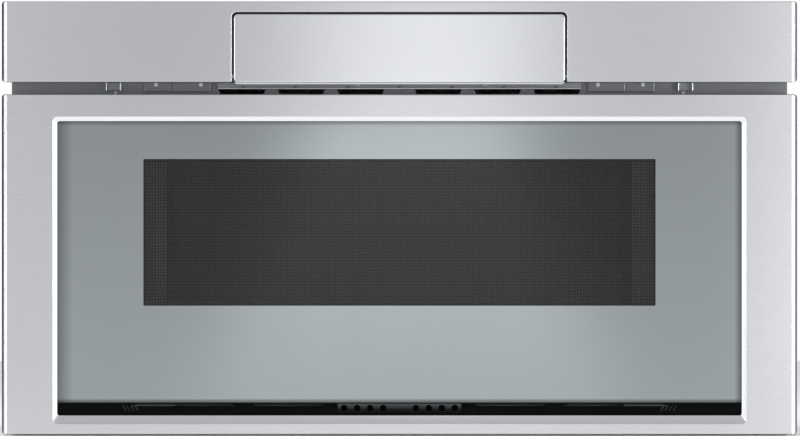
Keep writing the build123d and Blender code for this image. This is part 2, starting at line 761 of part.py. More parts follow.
duct_end = -yoke_half_width - seat
duct_middle = guide_top + (fin_start + yoke_height) / 2 - 2
with BuildPart() as air_duct:
    with BuildSketch(side_plane(fan_right, fan_y, fan_z)):
        Rectangle(2 * fan_ring + 8, 2 * fan_ring + 8)
    with BuildSketch(side_plane(duct_end, tube_y, duct_middle)):
        Rectangle(2 * yoke_half_depth + 4, yoke_height - fin_start + 4)
    loft(ruled=True)
    with BuildSketch(side_plane(fan_right, fan_y, fan_z)):
        Rectangle(2 * fan_ring + 8 - 2 * duct_wall, 2 * fan_ring + 8 - 2 * duct_wall)
    with BuildSketch(side_plane(duct_end, tube_y, duct_middle)):
        Rectangle(2 * yoke_half_depth + 4 - 2 * duct_wall, yoke_height - fin_start + 4 - 2 * duct_wall)
    loft(ruled=True, mode=Mode.SUBTRACT)
write("air_duct", air_duct)

transformer_x = half_case - transformer_from_side
transformer_y = mount_y + transformer_back
with BuildPart() as transformer:
    with Locations((transformer_x, transformer_y, plate + core_height / 2)):
        Box(core_width, core_depth, core_height)
        Box(coil_width, coil_depth, coil_height)
    corners = transformer.edges().filter_by(Axis.Z).group_by(Axis.X)
    fillet(corners[0] + corners[-1], coil_round)
    with Locations((transformer_x, transformer_y, 1.5 * plate)):
        Box(core_width, core_depth + 2 * core_foot, plate)
write("transformer", transformer)

capacitor_y = mount_y + capacitor_back
with BuildPart() as capacitor:
    with BuildSketch(Plane.XY.offset(plate)):
        with Locations((transformer_x, capacitor_y)):
            SlotOverall(capacitor_length, capacitor_width, rotation=90)
    extrude(amount=capacitor_height)
    for side in (-1, 1):
        y = capacitor_y + side * terminal_spread
        block(transformer_x - terminal_width / 2, transformer_x + terminal_width / 2, y, y + 0.8,
              plate + capacitor_height, plate + capacitor_height + terminal_height)
    with Locations((transformer_x, capacitor_y, plate + sheet / 2)):
        Box(capacitor_width + 2 * core_foot, 2 * core_foot, sheet)
write("capacitor", capacitor)

board_x = -half_case + sheet + board_side_gap
board_y = mount_y + board_back
# parts on the board as (back from its front edge, up from its lower edge, length, height, depth)
board_parts = [(30, 40, 34, 40, 28), (90, 30, 26, 26, 16), (140, 30, 26, 26, 16),
               (190, 40, 40, 34, 22), (50, 115, 60, 30, 10), (140, 115, 50, 22, 12)]
with BuildPart() as power_board:
    block(board_x, board_x + board_thickness, board_y, board_y + board_length, board_low, board_high)
    for back, up, length, height, depth in board_parts:
        block(board_x + board_thickness, board_x + board_thickness + depth, board_y + back - length / 2,
              board_y + back + length / 2, board_low + up - height / 2, board_low + up + height / 2)
    for y in (board_y + board_inset, board_y + board_length - board_inset):
        for z in (board_low + board_inset, board_high - board_inset):
            block(board_x - board_side_gap, board_x, y - spacer / 2, y + spacer / 2, z - spacer / 2,
                  z + spacer / 2)
write("power_board", power_board)

filter_x = -half_case + filter_side
filter_y = case_back - filter_from_back
filter_z = plate + filter_rise
# wound parts as (right of the board's corner, back of it, radius, height)
filter_parts = [(20, 70, 12, 22), (52, 60, 8, 18), (36, 25, 16, 14)]
with BuildPart() as noise_filter:
    block(filter_x, filter_x + filter_width, filter_y, filter_y + filter_depth, filter_z,
          filter_z + board_thickness)
    for right, back, radius, height in filter_parts:
        rod((filter_x + right, filter_y + back, filter_z + board_thickness), (0, 0, 1), radius, height)
    for x in (filter_x + spacer, filter_x + filter_width - spacer):
        for y in (filter_y + spacer, filter_y + filter_depth - spacer):
            block(x - spacer / 2, x + spacer / 2, y - spacer / 2, y + spacer / 2, plate, filter_z)
write("noise_filter", noise_filter)

with BuildPart() as cord_bush:
    rod((inlet_x, back_y, inlet_z), (0, 1, 0), bush_radius + bush_flange, bush_proud)
    rod((inlet_x, back_y, inlet_z), (0, -1, 0), bush_radius + bush_wall, bush_length - bush_proud)
    rod((inlet_x, back_y + bush_proud, inlet_z), (0, -1, 0), bush_radius, bush_length, mode=Mode.SUBTRACT)
write("cord_bush", cord_bush)

for side, name in ((-1, "left"), (1, "right")):
    x0, x1 = both(latch_x - switch_width / 2, latch_x + switch_width / 2, side)
    top = latch_z + latch_slot_height / 2
    with BuildPart() as latch_switch:
        block(x0, x1, case_y, case_y + switch_depth, latch_z - latch_slot_height, top + 9)
        x0, x1 = both(latch_x - latch_slot_width / 2, latch_x + latch_slot_width / 2, side)
        block(x0, x1, case_y, mount_y + hook_reach + 16, latch_z - latch_slot_height / 2 - 1, top + 1,
              mode=Mode.SUBTRACT)
        x0, x1 = both(latch_x - 8, latch_x + 8, side)
        for y in (mount_y + 6, mount_y + 24):
            block(x0, x1, y, y + switch_block, latch_z - latch_slot_height - switch_block,
                  latch_z - latch_slot_height)
    write(f"latch_switch_{name}", latch_switch)

rail_front = mount_y + rail_start_gap
for side, name in ((-1, "left"), (1, "right")):
    with BuildPart() as rail_support:
        with BuildSketch(front_plane(rail_front)):
            x0, x1 = both(rail_x, rail_x + plate, side)
            rect(x0, x1, plate, rail_z + rail_height / 2)
            x0, x1 = both(rail_x, rail_x + rail_foot, side)
            rect(x0, x1, plate, 2 * plate)
        extrude(amount=-rail_length)
        with BuildSketch(side_plane(side * rail_x, rail_front + rail_length / 2, rail_z)):
            with GridLocations(rail_window_pitch, 0, 3, 1):
                Rectangle(rail_window_length, rail_window_height)
        extrude(amount=side * plate, mode=Mode.SUBTRACT)
    write(f"rail_support_{name}", rail_support)

half_rail = rail_height / 2
half_middle = half_rail - rail_gauge - race_gap
lip_middle = 2 * rail_gauge
half_inner = half_middle - lip_middle - race_gap
x_middle = rail_x - rail_gauge - race_gap
x_inner = x_middle - rail_gauge - race_gap
inner_length = rail_front + rail_length - screen_y

for side, name in ((-1, "left"), (1, "right")):
    with BuildPart() as rail_outer:
        with BuildSketch(front_plane(rail_front)):
            channel(side, rail_x, half_rail, rail_gauge, rail_gauge)
        extrude(amount=-rail_length)
    write(f"rail_outer_{name}", rail_outer)

    with BuildPart() as rail_middle:
        with BuildSketch(front_plane(rail_front)):
            channel(side, x_middle, half_middle, rail_gauge, lip_middle)
        extrude(amount=-rail_length)
    write(f"rail_middle_{name}", rail_middle)

    with BuildPart() as rail_inner:
        with BuildSketch(front_plane(screen_y)):
            channel(side, x_inner, half_inner, rail_gauge, rail_gauge)
        extrude(amount=-inner_length)
        x0, x1 = both(rail_x - rail_depth - rail_tab, x_inner, side)
        block(x0, x1, screen_y, screen_y + sheet, rail_z - half_inner, rail_z + half_inner)
    write(f"rail_inner_{name}", rail_inner)

rack_left = rack_x - rack_width / 2
rack_right = rack_x + rack_width / 2
box_x = rack_right + gearbox_gap
motor_y = shaft_axis_y + (gearbox_rear - gearbox_front)
with BuildPart() as drive_motor:
    with BuildSketch(side_plane(box_x)):
        round_rect(shaft_axis_y - gearbox_front, shaft_axis_y + gearbox_rear, plate,
                   shaft_axis_z + gearbox_above, gearbox_round)
    extrude(amount=gearbox_thickness)
    rod((box_x + gearbox_thickness, motor_y, shaft_axis_z), (1, 0, 0), drive_motor_radius,
        drive_motor_length)
    rod((box_x + gearbox_thickness + drive_motor_length, motor_y, shaft_axis_z), (1, 0, 0),
        motor_cap_radius, motor_cap_length)
    rod((box_x, shaft_axis_y, shaft_axis_z), (-1, 0, 0), drive_shaft_radius, rack_width + 2 * gearbox_gap)
    block(box_x, box_x + gearbox_thickness, shaft_axis_y - gearbox_front - 14,
          shaft_axis_y + gearbox_rear + 14, plate, 3 * plate)
write("drive_motor", drive_motor)

with BuildPart() as drive_pinion:
    with BuildSketch(side_plane(rack_left, shaft_axis_y, shaft_axis_z)):
        with BuildLine():
            Polyline(*gear_points(pinion_teeth, rack_module, pi / 2, pinion_teeth), close=True)
        make_face()
        Circle(drive_shaft_radius + running_fit, mode=Mode.SUBTRACT)
    extrude(amount=rack_width)
write("drive_pinion", drive_pinion)

# ================= drawer =================

with BuildPart() as drawer_frame:
    with BuildSketch(front_plane(face_y)):
        round_rect(-half_front, half_front, drawer_low, drawer_high, corner_round)
    extrude(amount=-frame_depth)
    fillet(drawer_frame.faces().sort_by(Axis.Y)[0].edges(), edge_round)
    with BuildSketch(front_plane(face_y + sheet)):
        round_rect(-half_front + sheet, half_front - sheet, drawer_low + sheet, drawer_high - sheet,
                   corner_round - sheet)
    extrude(amount=sheet - frame_depth, mode=Mode.SUBTRACT)
    # sloped return round the opening: outer faces first, then the opening itself
    with BuildSketch(front_plane(face_y + sheet / 2)):
        rect(-open_x - sheet, open_x + sheet, open_low - sheet, open_high + sheet)
    with BuildSketch(front_plane(glass_y)):
        rect(-sight_x - sheet, sight_x + sheet, sight_low - sheet, sight_high + sheet)
    loft(ruled=True)
    with BuildSketch(front_plane(face_y)):
        rect(-open_x, open_x, open_low, open_high)
    with BuildSketch(front_plane(glass_y)):
        rect(-sight_x, sight_x, sight_low, sight_high)
    loft(ruled=True, mode=Mode.SUBTRACT)
write("drawer_frame", drawer_frame)

with BuildPart() as door_glass:
    with BuildSketch(front_plane(glass_y)):
        round_rect(-sight_x - glass_lap, sight_x + glass_lap, glass_low, sight_high + glass_lap,
                   corner_round)
    extrude(amount=-glass_thickness)
    chamfer(door_glass.faces().sort_by(Axis.Y)[0].edges(), 0.8)
write("door_glass", door_glass)

grille_y = glass_y + seat
grille_low = open_low + 1.5
grille_high = glass_low - seat
hole_z = glass_low - vent_hole_drop
slot_z = glass_low - slot_drop
scoop_top = slot_z + slot_height / 2
scoop_low = slot_z - slot_height / 2
hole_reach = vent_hole_start + vent_hole_pitch * vent_hole_count
slot_inner = straight_slot_x - straight_slot_length / 2
scoops = [(-hole_reach, hole_reach)]
for side in (-1, 1):
    scoops.append(both(slot_inner, straight_slot_x + straight_slot_length / 2, side))
    scoops.append(both(sloped_slot_x - sloped_slot_length / 2, sloped_slot_x + sloped_slot_length / 2, side))
with BuildPart() as vent_grille:
    with BuildSketch(front_plane(grille_y)):
        rect(-sight_x - glass_lap + sheet, sight_x + glass_lap - sheet, grille_low, grille_high)
        for k in range(vent_hole_count):
            x = vent_hole_start + vent_hole_pitch * k
            with Locations((x, hole_z), (-x, hole_z)):
                Circle(vent_hole_radius, mode=Mode.SUBTRACT)
        for side in (-1, 1):
            with Locations((side * straight_slot_x, slot_z)):
                Rectangle(straight_slot_length, slot_height, mode=Mode.SUBTRACT)
            with Locations((side * sloped_slot_x, slot_z)):
                Trapezoid(sloped_slot_length, slot_height, 15, mode=Mode.SUBTRACT)
            for k in range(grille_rib_count):
                with Locations((side * (grille_rib_x + grille_rib_pitch * k), hole_z)):
                    Rectangle(1.6, 7, rotation=-30 * side, mode=Mode.SUBTRACT)
    extrude(amount=grille_y - panel_y)
    for x0, x1 in scoops:
        with BuildSketch(side_plane(x0)):
            with BuildLine():
                Polyline((grille_y, scoop_low - scoop_height), (grille_y + scoop_depth, scoop_low),
                         (grille_y + scoop_depth, scoop_top), (grille_y, scoop_top), close=True)
            make_face()
        extrude(amount=x1 - x0, mode=Mode.SUBTRACT)
write("vent_grille", vent_grille)

panel_x = half_front - sheet - seat
panel_low = drawer_low + sheet + seat
panel_high = drawer_high - sheet - seat
with BuildPart() as door_panel:
    with BuildSketch(front_plane(panel_y)):
        round_rect(-panel_x, panel_x, panel_low, panel_high, corner_round - sheet)
    extrude(amount=panel_y - face_y - frame_depth)
    with BuildSketch(front_plane(panel_y + sheet)):
        rect(-panel_x + sheet, panel_x - sheet, panel_low + sheet, panel_high - sheet)
    extrude(amount=panel_y + sheet - face_y - frame_depth, mode=Mode.SUBTRACT)
    with BuildSketch(front_plane(panel_y)):
        rect(-half_window, half_window, window_low, window_high)
        for side in (-1, 1):
            # behind the slots, ending clear of the rail tabs
            x0, x1 = both(slot_inner - sheet, rail_x - rail_depth - 2 * rail_tab, side)
            rect(x0, x1, scoop_low - sheet, scoop_top)
        with Locations((0, hole_z)):
            Rectangle(2 * hole_reach, 2 * vent_hole_radius + sheet)
    extrude(amount=-sheet, mode=Mode.SUBTRACT)
write("door_panel", door_panel)

screen_lap = choke_in - half_window - seat
with BuildPart() as window_screen:
    with BuildSketch(front_plane(screen_y)):
        rect(-half_window - screen_lap, half_window + screen_lap, window_low - screen_lap,
             window_high + screen_lap)
    extrude(amount=-screen_thickness)
write("window_screen", window_screen)

with BuildPart() as choke_channel:
    with BuildSketch(front_plane(screen_y)):
        round_rect(-choke_side, choke_side, choke_low, choke_high, choke_corner)
        rect(-choke_in, choke_in, choke_low + choke_width, choke_high - choke_width, mode=Mode.SUBTRACT)
    extrude(amount=screen_y - choke_back)
    with BuildSketch(front_plane(screen_y + sheet)):
        round_rect(-choke_side + sheet, choke_side - sheet, choke_low + sheet, choke_high - sheet,
                   choke_corner - sheet)
        rect(-choke_in - sheet, choke_in + sheet, choke_low + choke_width - sheet,
             choke_high - choke_width + sheet, mode=Mode.SUBTRACT)
    extrude(amount=screen_y + sheet - choke_back, mode=Mode.SUBTRACT)
write("choke_channel", choke_channel)

with BuildPart() as choke_cover:
    with BuildSketch(front_plane(choke_back)):
        round_rect(-choke_side, choke_side, choke_low, choke_high, choke_corner)
        rect(-choke_in, choke_in, choke_low + choke_width, choke_high - choke_width, mode=Mode.SUBTRACT)
    extrude(amount=-choke_cover_thickness)
    chamfer(choke_cover.faces().sort_by(Axis.Y)[-1].outer_wire().edges(), choke_cover_thickness / 3)
write("choke_cover", choke_cover)

bin_top = bin_floor + bin_height
with BuildPart() as drawer_bin:
    with BuildSketch(Plane.XY.offset(bin_floor - bin_wall)):
        rect(-half_bin - bin_wall, half_bin + bin_wall, bin_front - bin_wall, bin_back + bin_wall)
    extrude(amount=bin_height + bin_wall)
    fillet(drawer_bin.edges().filter_by(Axis.Z).group_by(Axis.Y)[-1], bin_corner)
    fillet(drawer_bin.faces().sort_by(Axis.Z)[0].edges().sort_by(Axis.Y)[1:], bin_bottom_round)
    offset(amount=-bin_wall, openings=drawer_bin.faces().sort_by(Axis.Z)[-1])
    # turned-out rim
    with BuildSketch(Plane.XY.offset(bin_top - bin_wall)):
        rect(-half_bin - bin_wall - bin_rim, half_bin + bin_wall + bin_rim, bin_front, bin_back + bin_rim)
        rect(-half_bin, half_bin, bin_front, bin_back - bin_corner, mode=Mode.SUBTRACT)
        rect(-half_bin + bin_corner, half_bin - bin_corner, bin_front, bin_back, mode=Mode.SUBTRACT)
    extrude(amount=bin_wall)
    # front wall, as wide as the choke, with the window
    with BuildSketch(front_plane(choke_back)):
        rect(-choke_in + seat, choke_in - seat, choke_low + choke_width + seat,
             choke_high - choke_width - seat)
    extrude(amount=-sheet)
    with BuildSketch(front_plane(choke_back)):
        rect(-half_bin + 8, half_bin - 8, window_low + 4, window_high)
    extrude(amount=-sheet, mode=Mode.SUBTRACT)
write("drawer_bin", drawer_bin)

with BuildPart() as inner_pane:
    with BuildSketch(front_plane(choke_back - pane_thickness)):
        rect(-half_bin - 2, half_bin + 2, window_low - pane_lap, window_high + pane_lap + 4)
    extrude(amount=-pane_thickness)
write("inner_pane", inner_pane)

half_tile = half_bin - bin_bottom_round
with BuildPart() as ceramic_floor:
    with BuildSketch(Plane.XY.offset(bin_floor)):
        round_rect(-half_tile, half_tile, bin_front + bin_bottom_round, bin_back - bin_bottom_round,
                   tile_corner)
    extrude(amount=tile_thickness)
    chamfer(ceramic_floor.faces().sort_by(Axis.Z)[-1].edges(), 0.8)
write("ceramic_floor", ceramic_floor)

hook_front = mount_y + hook_reach
hook_low = latch_z - 4
hook_high = hook_low + hook_height
for side, name in ((-1, "left"), (1, "right")):
    x0, x1 = both(latch_x - hook_thickness / 2, latch_x + hook_thickness / 2, side)
    with BuildPart() as latch_hook:
        with BuildSketch(side_plane(x0)):
            with BuildLine():
                Polyline(
                    (screen_y, hook_low - 8), (screen_y + 6, hook_low - 8), (mount_y - 8, hook_low),
                    (hook_front - 8, hook_low), (hook_front, hook_low + 6), (hook_front - 6, hook_high),
                    (mount_y + 10, hook_high), (mount_y + 10, hook_high - 6), (screen_y + 6, hook_high),
                    (screen_y, hook_high), close=True,
                )
            make_face()
        extrude(amount=hook_thickness)
        x0, x1 = both(latch_x - hook_foot / 2, latch_x + hook_foot / 2, side)
        block(x0, x1, screen_y, screen_y + plate, hook_low - 10, hook_high + 2)
    write(f"latch_hook_{name}", latch_hook)

rack_pitch = pi * rack_module
tooth_count = int((travel + 2 * pinion_radius) / rack_pitch) + 2
root_z = rack_line + dedendum * rack_module
tip_z = rack_line - addendum * rack_module
rack_slope = tan(radians(pressure_angle))
half_line = rack_pitch / 4 - backlash / 4
half_tip = half_line - addendum * rack_module * rack_slope
half_root = half_line + dedendum * rack_module * rack_slope
rack_first = shaft_axis_y - 2.5 * rack_pitch
rack_end = rack_first + (tooth_count - 0.5) * rack_pitch
rack_outline = [(screen_y, root_z)]
for k in range(tooth_count):
    y = rack_first + k * rack_pitch
    rack_outline += [(y - half_root, root_z), (y - half_tip, tip_z)]
    rack_outline += [(y + half_tip, tip_z), (y + half_root, root_z)]
rack_top = rack_line + rack_back_height
with BuildPart() as drive_rack:
    with BuildSketch(side_plane(rack_left)):
        with BuildLine():
            Polyline(*rack_outline, (rack_end, root_z), (rack_end, rack_top), (screen_y, rack_top),
                     close=True)
        make_face()
    extrude(amount=rack_width)
    block(rack_x - rack_foot, rack_x + rack_foot, screen_y, screen_y + 2, rack_line - 4, rack_top + 4)
write("drive_rack", drive_rack)

# ================= control flap =================

cover_low = fascia_low - cover_drop
cover_high = cover_low + cover_height
half_cover = cover_width / 2
with BuildPart() as control_cover:
    with BuildSketch(front_plane(fascia_y)):
        round_rect(-half_cover, half_cover, cover_low, cover_high, cover_corner)
    extrude(amount=-cover_return)
    fillet(control_cover.faces().sort_by(Axis.Y)[0].edges(), edge_round / 2)
    with BuildSketch(front_plane(fascia_y + sheet)):
        round_rect(-half_cover + sheet, half_cover - sheet, cover_low + sheet, cover_high - sheet,
                   cover_corner - sheet)
    extrude(amount=sheet - cover_return, mode=Mode.SUBTRACT)
write("control_cover", control_cover)

half_housing = half_cover - flap_side_gap
housing_front = fascia_y + sheet
housing_rear = pivot_y + flap_depth
housing_low = cover_low + sheet + seat
touch_front = (fascia_y + cover_return + 0.5, cover_high - touch_drop)
touch_rear = (housing_rear, cover_high - touch_drop - touch_fall)
touch_slope = atan2(touch_fall, touch_rear[0] - touch_front[0])
touch_rise = touch_thickness / cos(touch_slope)       # the glass measured straight up
housing_outline = [
    (housing_front, housing_low), (pivot_y + 5, housing_low),
    (housing_rear, touch_rear[1] - housing_rear_height), (housing_rear, touch_rear[1] - touch_rise),
    (touch_front[0], touch_front[1] - touch_rise), (housing_front, touch_front[1] - touch_rise),
]
with BuildPart() as control_housing:
    with BuildSketch(side_plane(-half_housing)):
        with BuildLine():
            Polyline(*housing_outline, close=True)
        make_face()
    extrude(amount=2 * half_housing)
    with BuildSketch(side_plane(-half_housing + flap_wall)):
        with BuildLine():
            Polyline(*housing_outline, close=True)
        make_face()
        offset(amount=-flap_wall, kind=Kind.INTERSECTION, mode=Mode.REPLACE)
    extrude(amount=2 * (half_housing - flap_wall), mode=Mode.SUBTRACT)
write("control_housing", control_housing)

with BuildPart() as touch_glass:
    with BuildSketch(side_plane(-half_housing)):
        with BuildLine():
            Polyline(touch_front, touch_rear, (touch_rear[0], touch_rear[1] - touch_rise),
                     (touch_front[0], touch_front[1] - touch_rise), close=True)
        make_face()
    extrude(amount=2 * half_housing)
write("touch_glass", touch_glass)

half_board = half_housing - flap_wall - seat
control_z = touch_rear[1] - touch_rise - flap_wall - 9
with BuildPart() as control_board:
    block(-half_board, half_board, housing_front + flap_wall + seat, housing_rear - flap_wall - 4 * seat,
          control_z, control_z + board_thickness)
    for k in range(touch_key_count):
        with Locations(((k - (touch_key_count - 1) / 2) * touch_key_pitch, housing_front + 14,
                        control_z + board_thickness + touch_key_height / 2)):
            Box(touch_key_width, touch_key_depth, touch_key_height)
write("control_board", control_board)

sector_x = slot_half + sheet + sector_gap
pin_length = sector_x + sector_width - half_housing
with BuildPart() as hinge_pin_right:
    rod((half_housing, pivot_y, pivot_z), (1, 0, 0), hinge_collar_radius, sheet)
    rod((half_housing, pivot_y, pivot_z), (1, 0, 0), hinge_pin_radius, pin_length)
write("hinge_pin_right", hinge_pin_right)

mesh_angle = radians(sector_mesh_angle)
tooth_step = 2 * pi / sector_teeth
first_tooth = mesh_angle - (sector_tooth_count - 2) * tooth_step
with BuildPart() as hinge_pin_left:
    rod((-half_housing, pivot_y, pivot_z), (-1, 0, 0), hinge_collar_radius, sheet)
    rod((-half_housing, pivot_y, pivot_z), (-1, 0, 0), hinge_pin_radius, pin_length)
    with BuildSketch(side_plane(-sector_x - sector_width, pivot_y, pivot_z)):
        with BuildLine():
            Polyline((0, 0), *gear_points(sector_teeth, tilt_module, first_tooth, sector_tooth_count),
                     close=True)
        make_face()
    extrude(amount=sector_width)
write("hinge_pin_left", hinge_pin_left)

tilt_distance = sector_radius + tilt_pinion_radius
tilt_y = pivot_y + tilt_distance * cos(mesh_angle)
tilt_z = pivot_z + tilt_distance * sin(mesh_angle)
tilt_start = mesh_angle + pi + pi / tilt_pinion_teeth
with BuildPart() as tilt_pinion:
    with BuildSketch(side_plane(-sector_x - sector_width, tilt_y, tilt_z)):
        with BuildLine():
            Polyline(*gear_points(tilt_pinion_teeth, tilt_module, tilt_start, tilt_pinion_teeth),
                     close=True)
        make_face()
        Circle(tilt_shaft_radius + running_fit, mode=Mode.SUBTRACT)
    extrude(amount=sector_width)
write("tilt_pinion", tilt_pinion)

tilt_box_x = -sector_x - sector_width - gearbox_gap
with BuildPart() as tilt_motor:
    with BuildSketch(side_plane(tilt_box_x)):
        round_rect(tilt_y - tilt_box_half, plate_y, tilt_z - tilt_box_half, tilt_z + tilt_box_above,
                   corner_round)
    extrude(amount=-tilt_box_thickness)
    rod((tilt_box_x - tilt_box_thickness, plate_y - tilt_motor_radius - 2, tilt_z + tilt_motor_radius),
        (-1, 0, 0), tilt_motor_radius, tilt_motor_length)
    rod((tilt_box_x, tilt_y, tilt_z), (1, 0, 0), tilt_shaft_radius, sector_width + gearbox_gap)
write("tilt_motor", tilt_motor)

# ================= fasteners =================

with BuildPart() as back_screws:
    for x, z in screw_places:
        with BuildSketch(front_plane(back_y + screw_head_height)) as head:
            with Locations((x, z)):
                RegularPolygon(screw_head_radius, 6)
        extrude(head.sketch, amount=screw_head_height)
        rod((x, back_y, z), (0, -1, 0), case_screw_radius - 0.1, screw_length)
write("back_screws", back_screws)

with BuildPart() as front_screws:
    for x, z in front_screws_at:
        rise = panel_step_low if abs(x) > panel_fold else panel_step_high
        rod((x, plate_y - rise, z), (0, -1, 0), front_head_radius, front_head_height)
        rod((x, plate_y - rise, z), (0, 1, 0), front_screw_radius, rise + plate + 3)
write("front_screws", front_screws)
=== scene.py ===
import json
import logging
import math
from dataclasses import dataclass, field, replace
from enum import Enum

import bmesh
import bpy
from bpy.types import ID, Material, Mesh, Node, NodeSocket, NodeTree, Object
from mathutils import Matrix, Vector


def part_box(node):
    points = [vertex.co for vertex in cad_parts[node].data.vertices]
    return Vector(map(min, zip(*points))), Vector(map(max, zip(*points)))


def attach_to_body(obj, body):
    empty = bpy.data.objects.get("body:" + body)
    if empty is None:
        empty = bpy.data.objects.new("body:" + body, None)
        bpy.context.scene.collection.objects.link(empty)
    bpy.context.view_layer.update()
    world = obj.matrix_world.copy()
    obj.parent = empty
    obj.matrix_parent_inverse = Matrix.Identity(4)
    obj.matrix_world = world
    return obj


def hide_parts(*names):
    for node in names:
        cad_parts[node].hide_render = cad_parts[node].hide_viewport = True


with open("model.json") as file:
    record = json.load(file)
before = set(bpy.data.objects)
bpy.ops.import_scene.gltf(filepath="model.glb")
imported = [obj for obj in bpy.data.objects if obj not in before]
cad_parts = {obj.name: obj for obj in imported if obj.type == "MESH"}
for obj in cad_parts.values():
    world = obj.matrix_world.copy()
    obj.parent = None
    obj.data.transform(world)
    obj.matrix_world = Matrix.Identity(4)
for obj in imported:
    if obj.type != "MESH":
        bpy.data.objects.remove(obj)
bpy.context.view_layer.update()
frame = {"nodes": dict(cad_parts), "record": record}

MM = 0.001
DRILL_LENGTH = 10.0              # mm, longer than any wall is thick
LEAST_RADIUS = 0.02              # mm, a corner that reads as sharp
SUPPORT = 0.2                    # mm from a rounded edge to the loop that keeps the face beside it flat
CLEAR = 0.02                     # mm between surfaces that lie on one another
log = logging.getLogger("microwave_drawer")

Loop = list[tuple[float, float, float]]


# ---------------------------------------------------------------- materials


def linear(code: str) -> tuple[float, float, float, float]:
    """Turn an sRGB hex colour into Blender's linear colour.

    Args:
        code: six hex digits.

    Returns:
        Linear red, green, blue and full alpha.
    """
    shares = [int(code[k:k + 2], 16) / 255 for k in (0, 2, 4)]
    return (*[c / 12.92 if c <= 0.04045 else ((c + 0.055) / 1.055) ** 2.4 for c in shares], 1.0)


def add_node(tree: NodeTree, kind: str, inputs: dict | None = None, **settings: object) -> Node:
    """Add one node, set its properties, and fill or link its inputs.

    Args:
        tree: the tree that gets the node.
        kind: the node's type name.
        inputs: socket name or number to a value, to the output that feeds it, or to a list of outputs.
        **settings: properties of the node itself.

    Returns:
        The new node.
    """
    node = tree.nodes.new(kind)
    for key, value in settings.items():
        setattr(node, key, value)
    for key, value in (inputs or {}).items():
        if isinstance(value, (NodeSocket, list)):
            for output in value if isinstance(value, list) else [value]:
                tree.links.new(output, node.inputs[key])
        else:
            node.inputs[key].default_value = value
    return node


class Pattern(Enum):
    """What a surface's making leaves on it."""

    GRAIN = "noise"          # brushed, rolled or moulded texture
    CELLS = "voronoi"        # zinc spangle, crystals
    LAYERS = "wave"          # stacked laminations


@dataclass(frozen=True)
class Shade:
    """Painted shade: a darker band along an edge of a piece, in millimetres."""

    axis: int                # 0 across, 1 along the depth, 2 up
    edge: float              # where it is darkest
    reach: float             # how far it fades, with its direction
    left: float              # share of the colour left at the edge


@dataclass(frozen=True)
class Finish:
    """One surface: its colours, its gloss, the pattern its making leaves, and any bands of painted shade."""

    name: str
    colour: str
    second: str              # the pattern's other colour
    metallic: float = 0.0
    roughness: tuple[float, float] = (0.4, 0.5)              # where it has each of the two colours
    pattern: Pattern = Pattern.GRAIN
    size: tuple[float, float, float] = (1.0, 1.0, 1.0)       # mm, of the pattern along each axis
    detail: float = 3.0      # octaves of a grain
    contrast: float = 1.0
    bump: float = 0.0
    relief: float = 0.05     # mm
    patch: float = 120.0     # mm, size of the soft clouds that vary the pattern
    patch_share: float = 0.12
    sockets: dict[str, float] = field(default_factory=dict)  # further settings of the shader
    shades: tuple[Shade, ...] = ()

    def material(self) -> Material:
        """Give the finish's material, made at its first use."""
        return bpy.data.materials.get(self.name) or self.build()

    def build(self) -> Material:
        """Make the material.

        Returns:
            The material, named for the finish.
        """
        material = bpy.data.materials.new(self.name)
        material.use_nodes = True
        tree = material.node_tree
        shader = tree.nodes["Principled BSDF"]
        place = add_node(tree, "ShaderNodeTexCoord").outputs["Object"]
        cell = tuple(1 / (length * MM) for length in self.size)
        fine = add_node(tree, "ShaderNodeMapping", {"Vector": place, "Scale": cell})
        if self.pattern is Pattern.GRAIN:
            texture = add_node(tree, "ShaderNodeTexNoise", {
                "Vector": fine.outputs[0], "Scale": 1.0, "Detail": self.detail, "Roughness": 0.6})
            value = texture.outputs[0]
        elif self.pattern is Pattern.CELLS:
            texture = add_node(tree, "ShaderNodeTexVoronoi", {"Vector": fine.outputs[0], "Scale": 1.0})
            value = texture.outputs["Color"]
        else:
            texture = add_node(tree, "ShaderNodeTexWave", {
                "Vector": fine.outputs[0], "Scale": 1.0, "Distortion": 0.0}, bands_direction="Z")
            value = texture.outputs[1]
        half = 0.5 / self.contrast
        spread = add_node(tree, "ShaderNodeMapRange",
                          {"Value": value, "From Min": 0.5 - half, "From Max": 0.5 + half})
        soft = add_node(tree, "ShaderNodeTexNoise",
                        {"Vector": place, "Scale": 1 / (self.patch * MM), "Detail": 2.0})
        share = add_node(tree, "ShaderNodeMix",
                         {0: self.patch_share, 2: spread.outputs[0], 3: soft.outputs[0]})
        tint = add_node(tree, "ShaderNodeMix", {
            0: share.outputs[0], 6: linear(self.second), 7: linear(self.colour)}, data_type="RGBA")
        gloss = add_node(tree, "ShaderNodeMapRange", {
            "Value": share.outputs[0], "To Min": self.roughness[1], "To Max": self.roughness[0]})
        colour = tint.outputs[2]
        axes = add_node(tree, "ShaderNodeSeparateXYZ", {0: place})
        # Painted shade: each band darkens the colour towards its edge.
        for shade in self.shades:
            fade = add_node(tree, "ShaderNodeMapRange", {
                "Value": axes.outputs[shade.axis], "From Min": shade.edge * MM,
                "From Max": (shade.edge + shade.reach) * MM, "To Min": shade.left, "To Max": 1.0})
            grey = add_node(tree, "ShaderNodeCombineXYZ", {k: fade.outputs[0] for k in range(3)})
            colour = add_node(tree, "ShaderNodeMix", {0: 1.0, 6: colour, 7: grey.outputs[0]},
                              data_type="RGBA", blend_type="MULTIPLY").outputs[2]
        tree.links.new(colour, shader.inputs["Base Color"])
        tree.links.new(gloss.outputs[0], shader.inputs["Roughness"])
        if self.bump:
            relief = add_node(tree, "ShaderNodeBump", {
                "Height": spread.outputs[0], "Strength": self.bump, "Distance": self.relief * MM})
            tree.links.new(relief.outputs[0], shader.inputs["Normal"])
        shader.inputs["Metallic"].default_value = self.metallic
        for socket, constant in self.sockets.items():
            shader.inputs[socket].default_value = constant
        return material


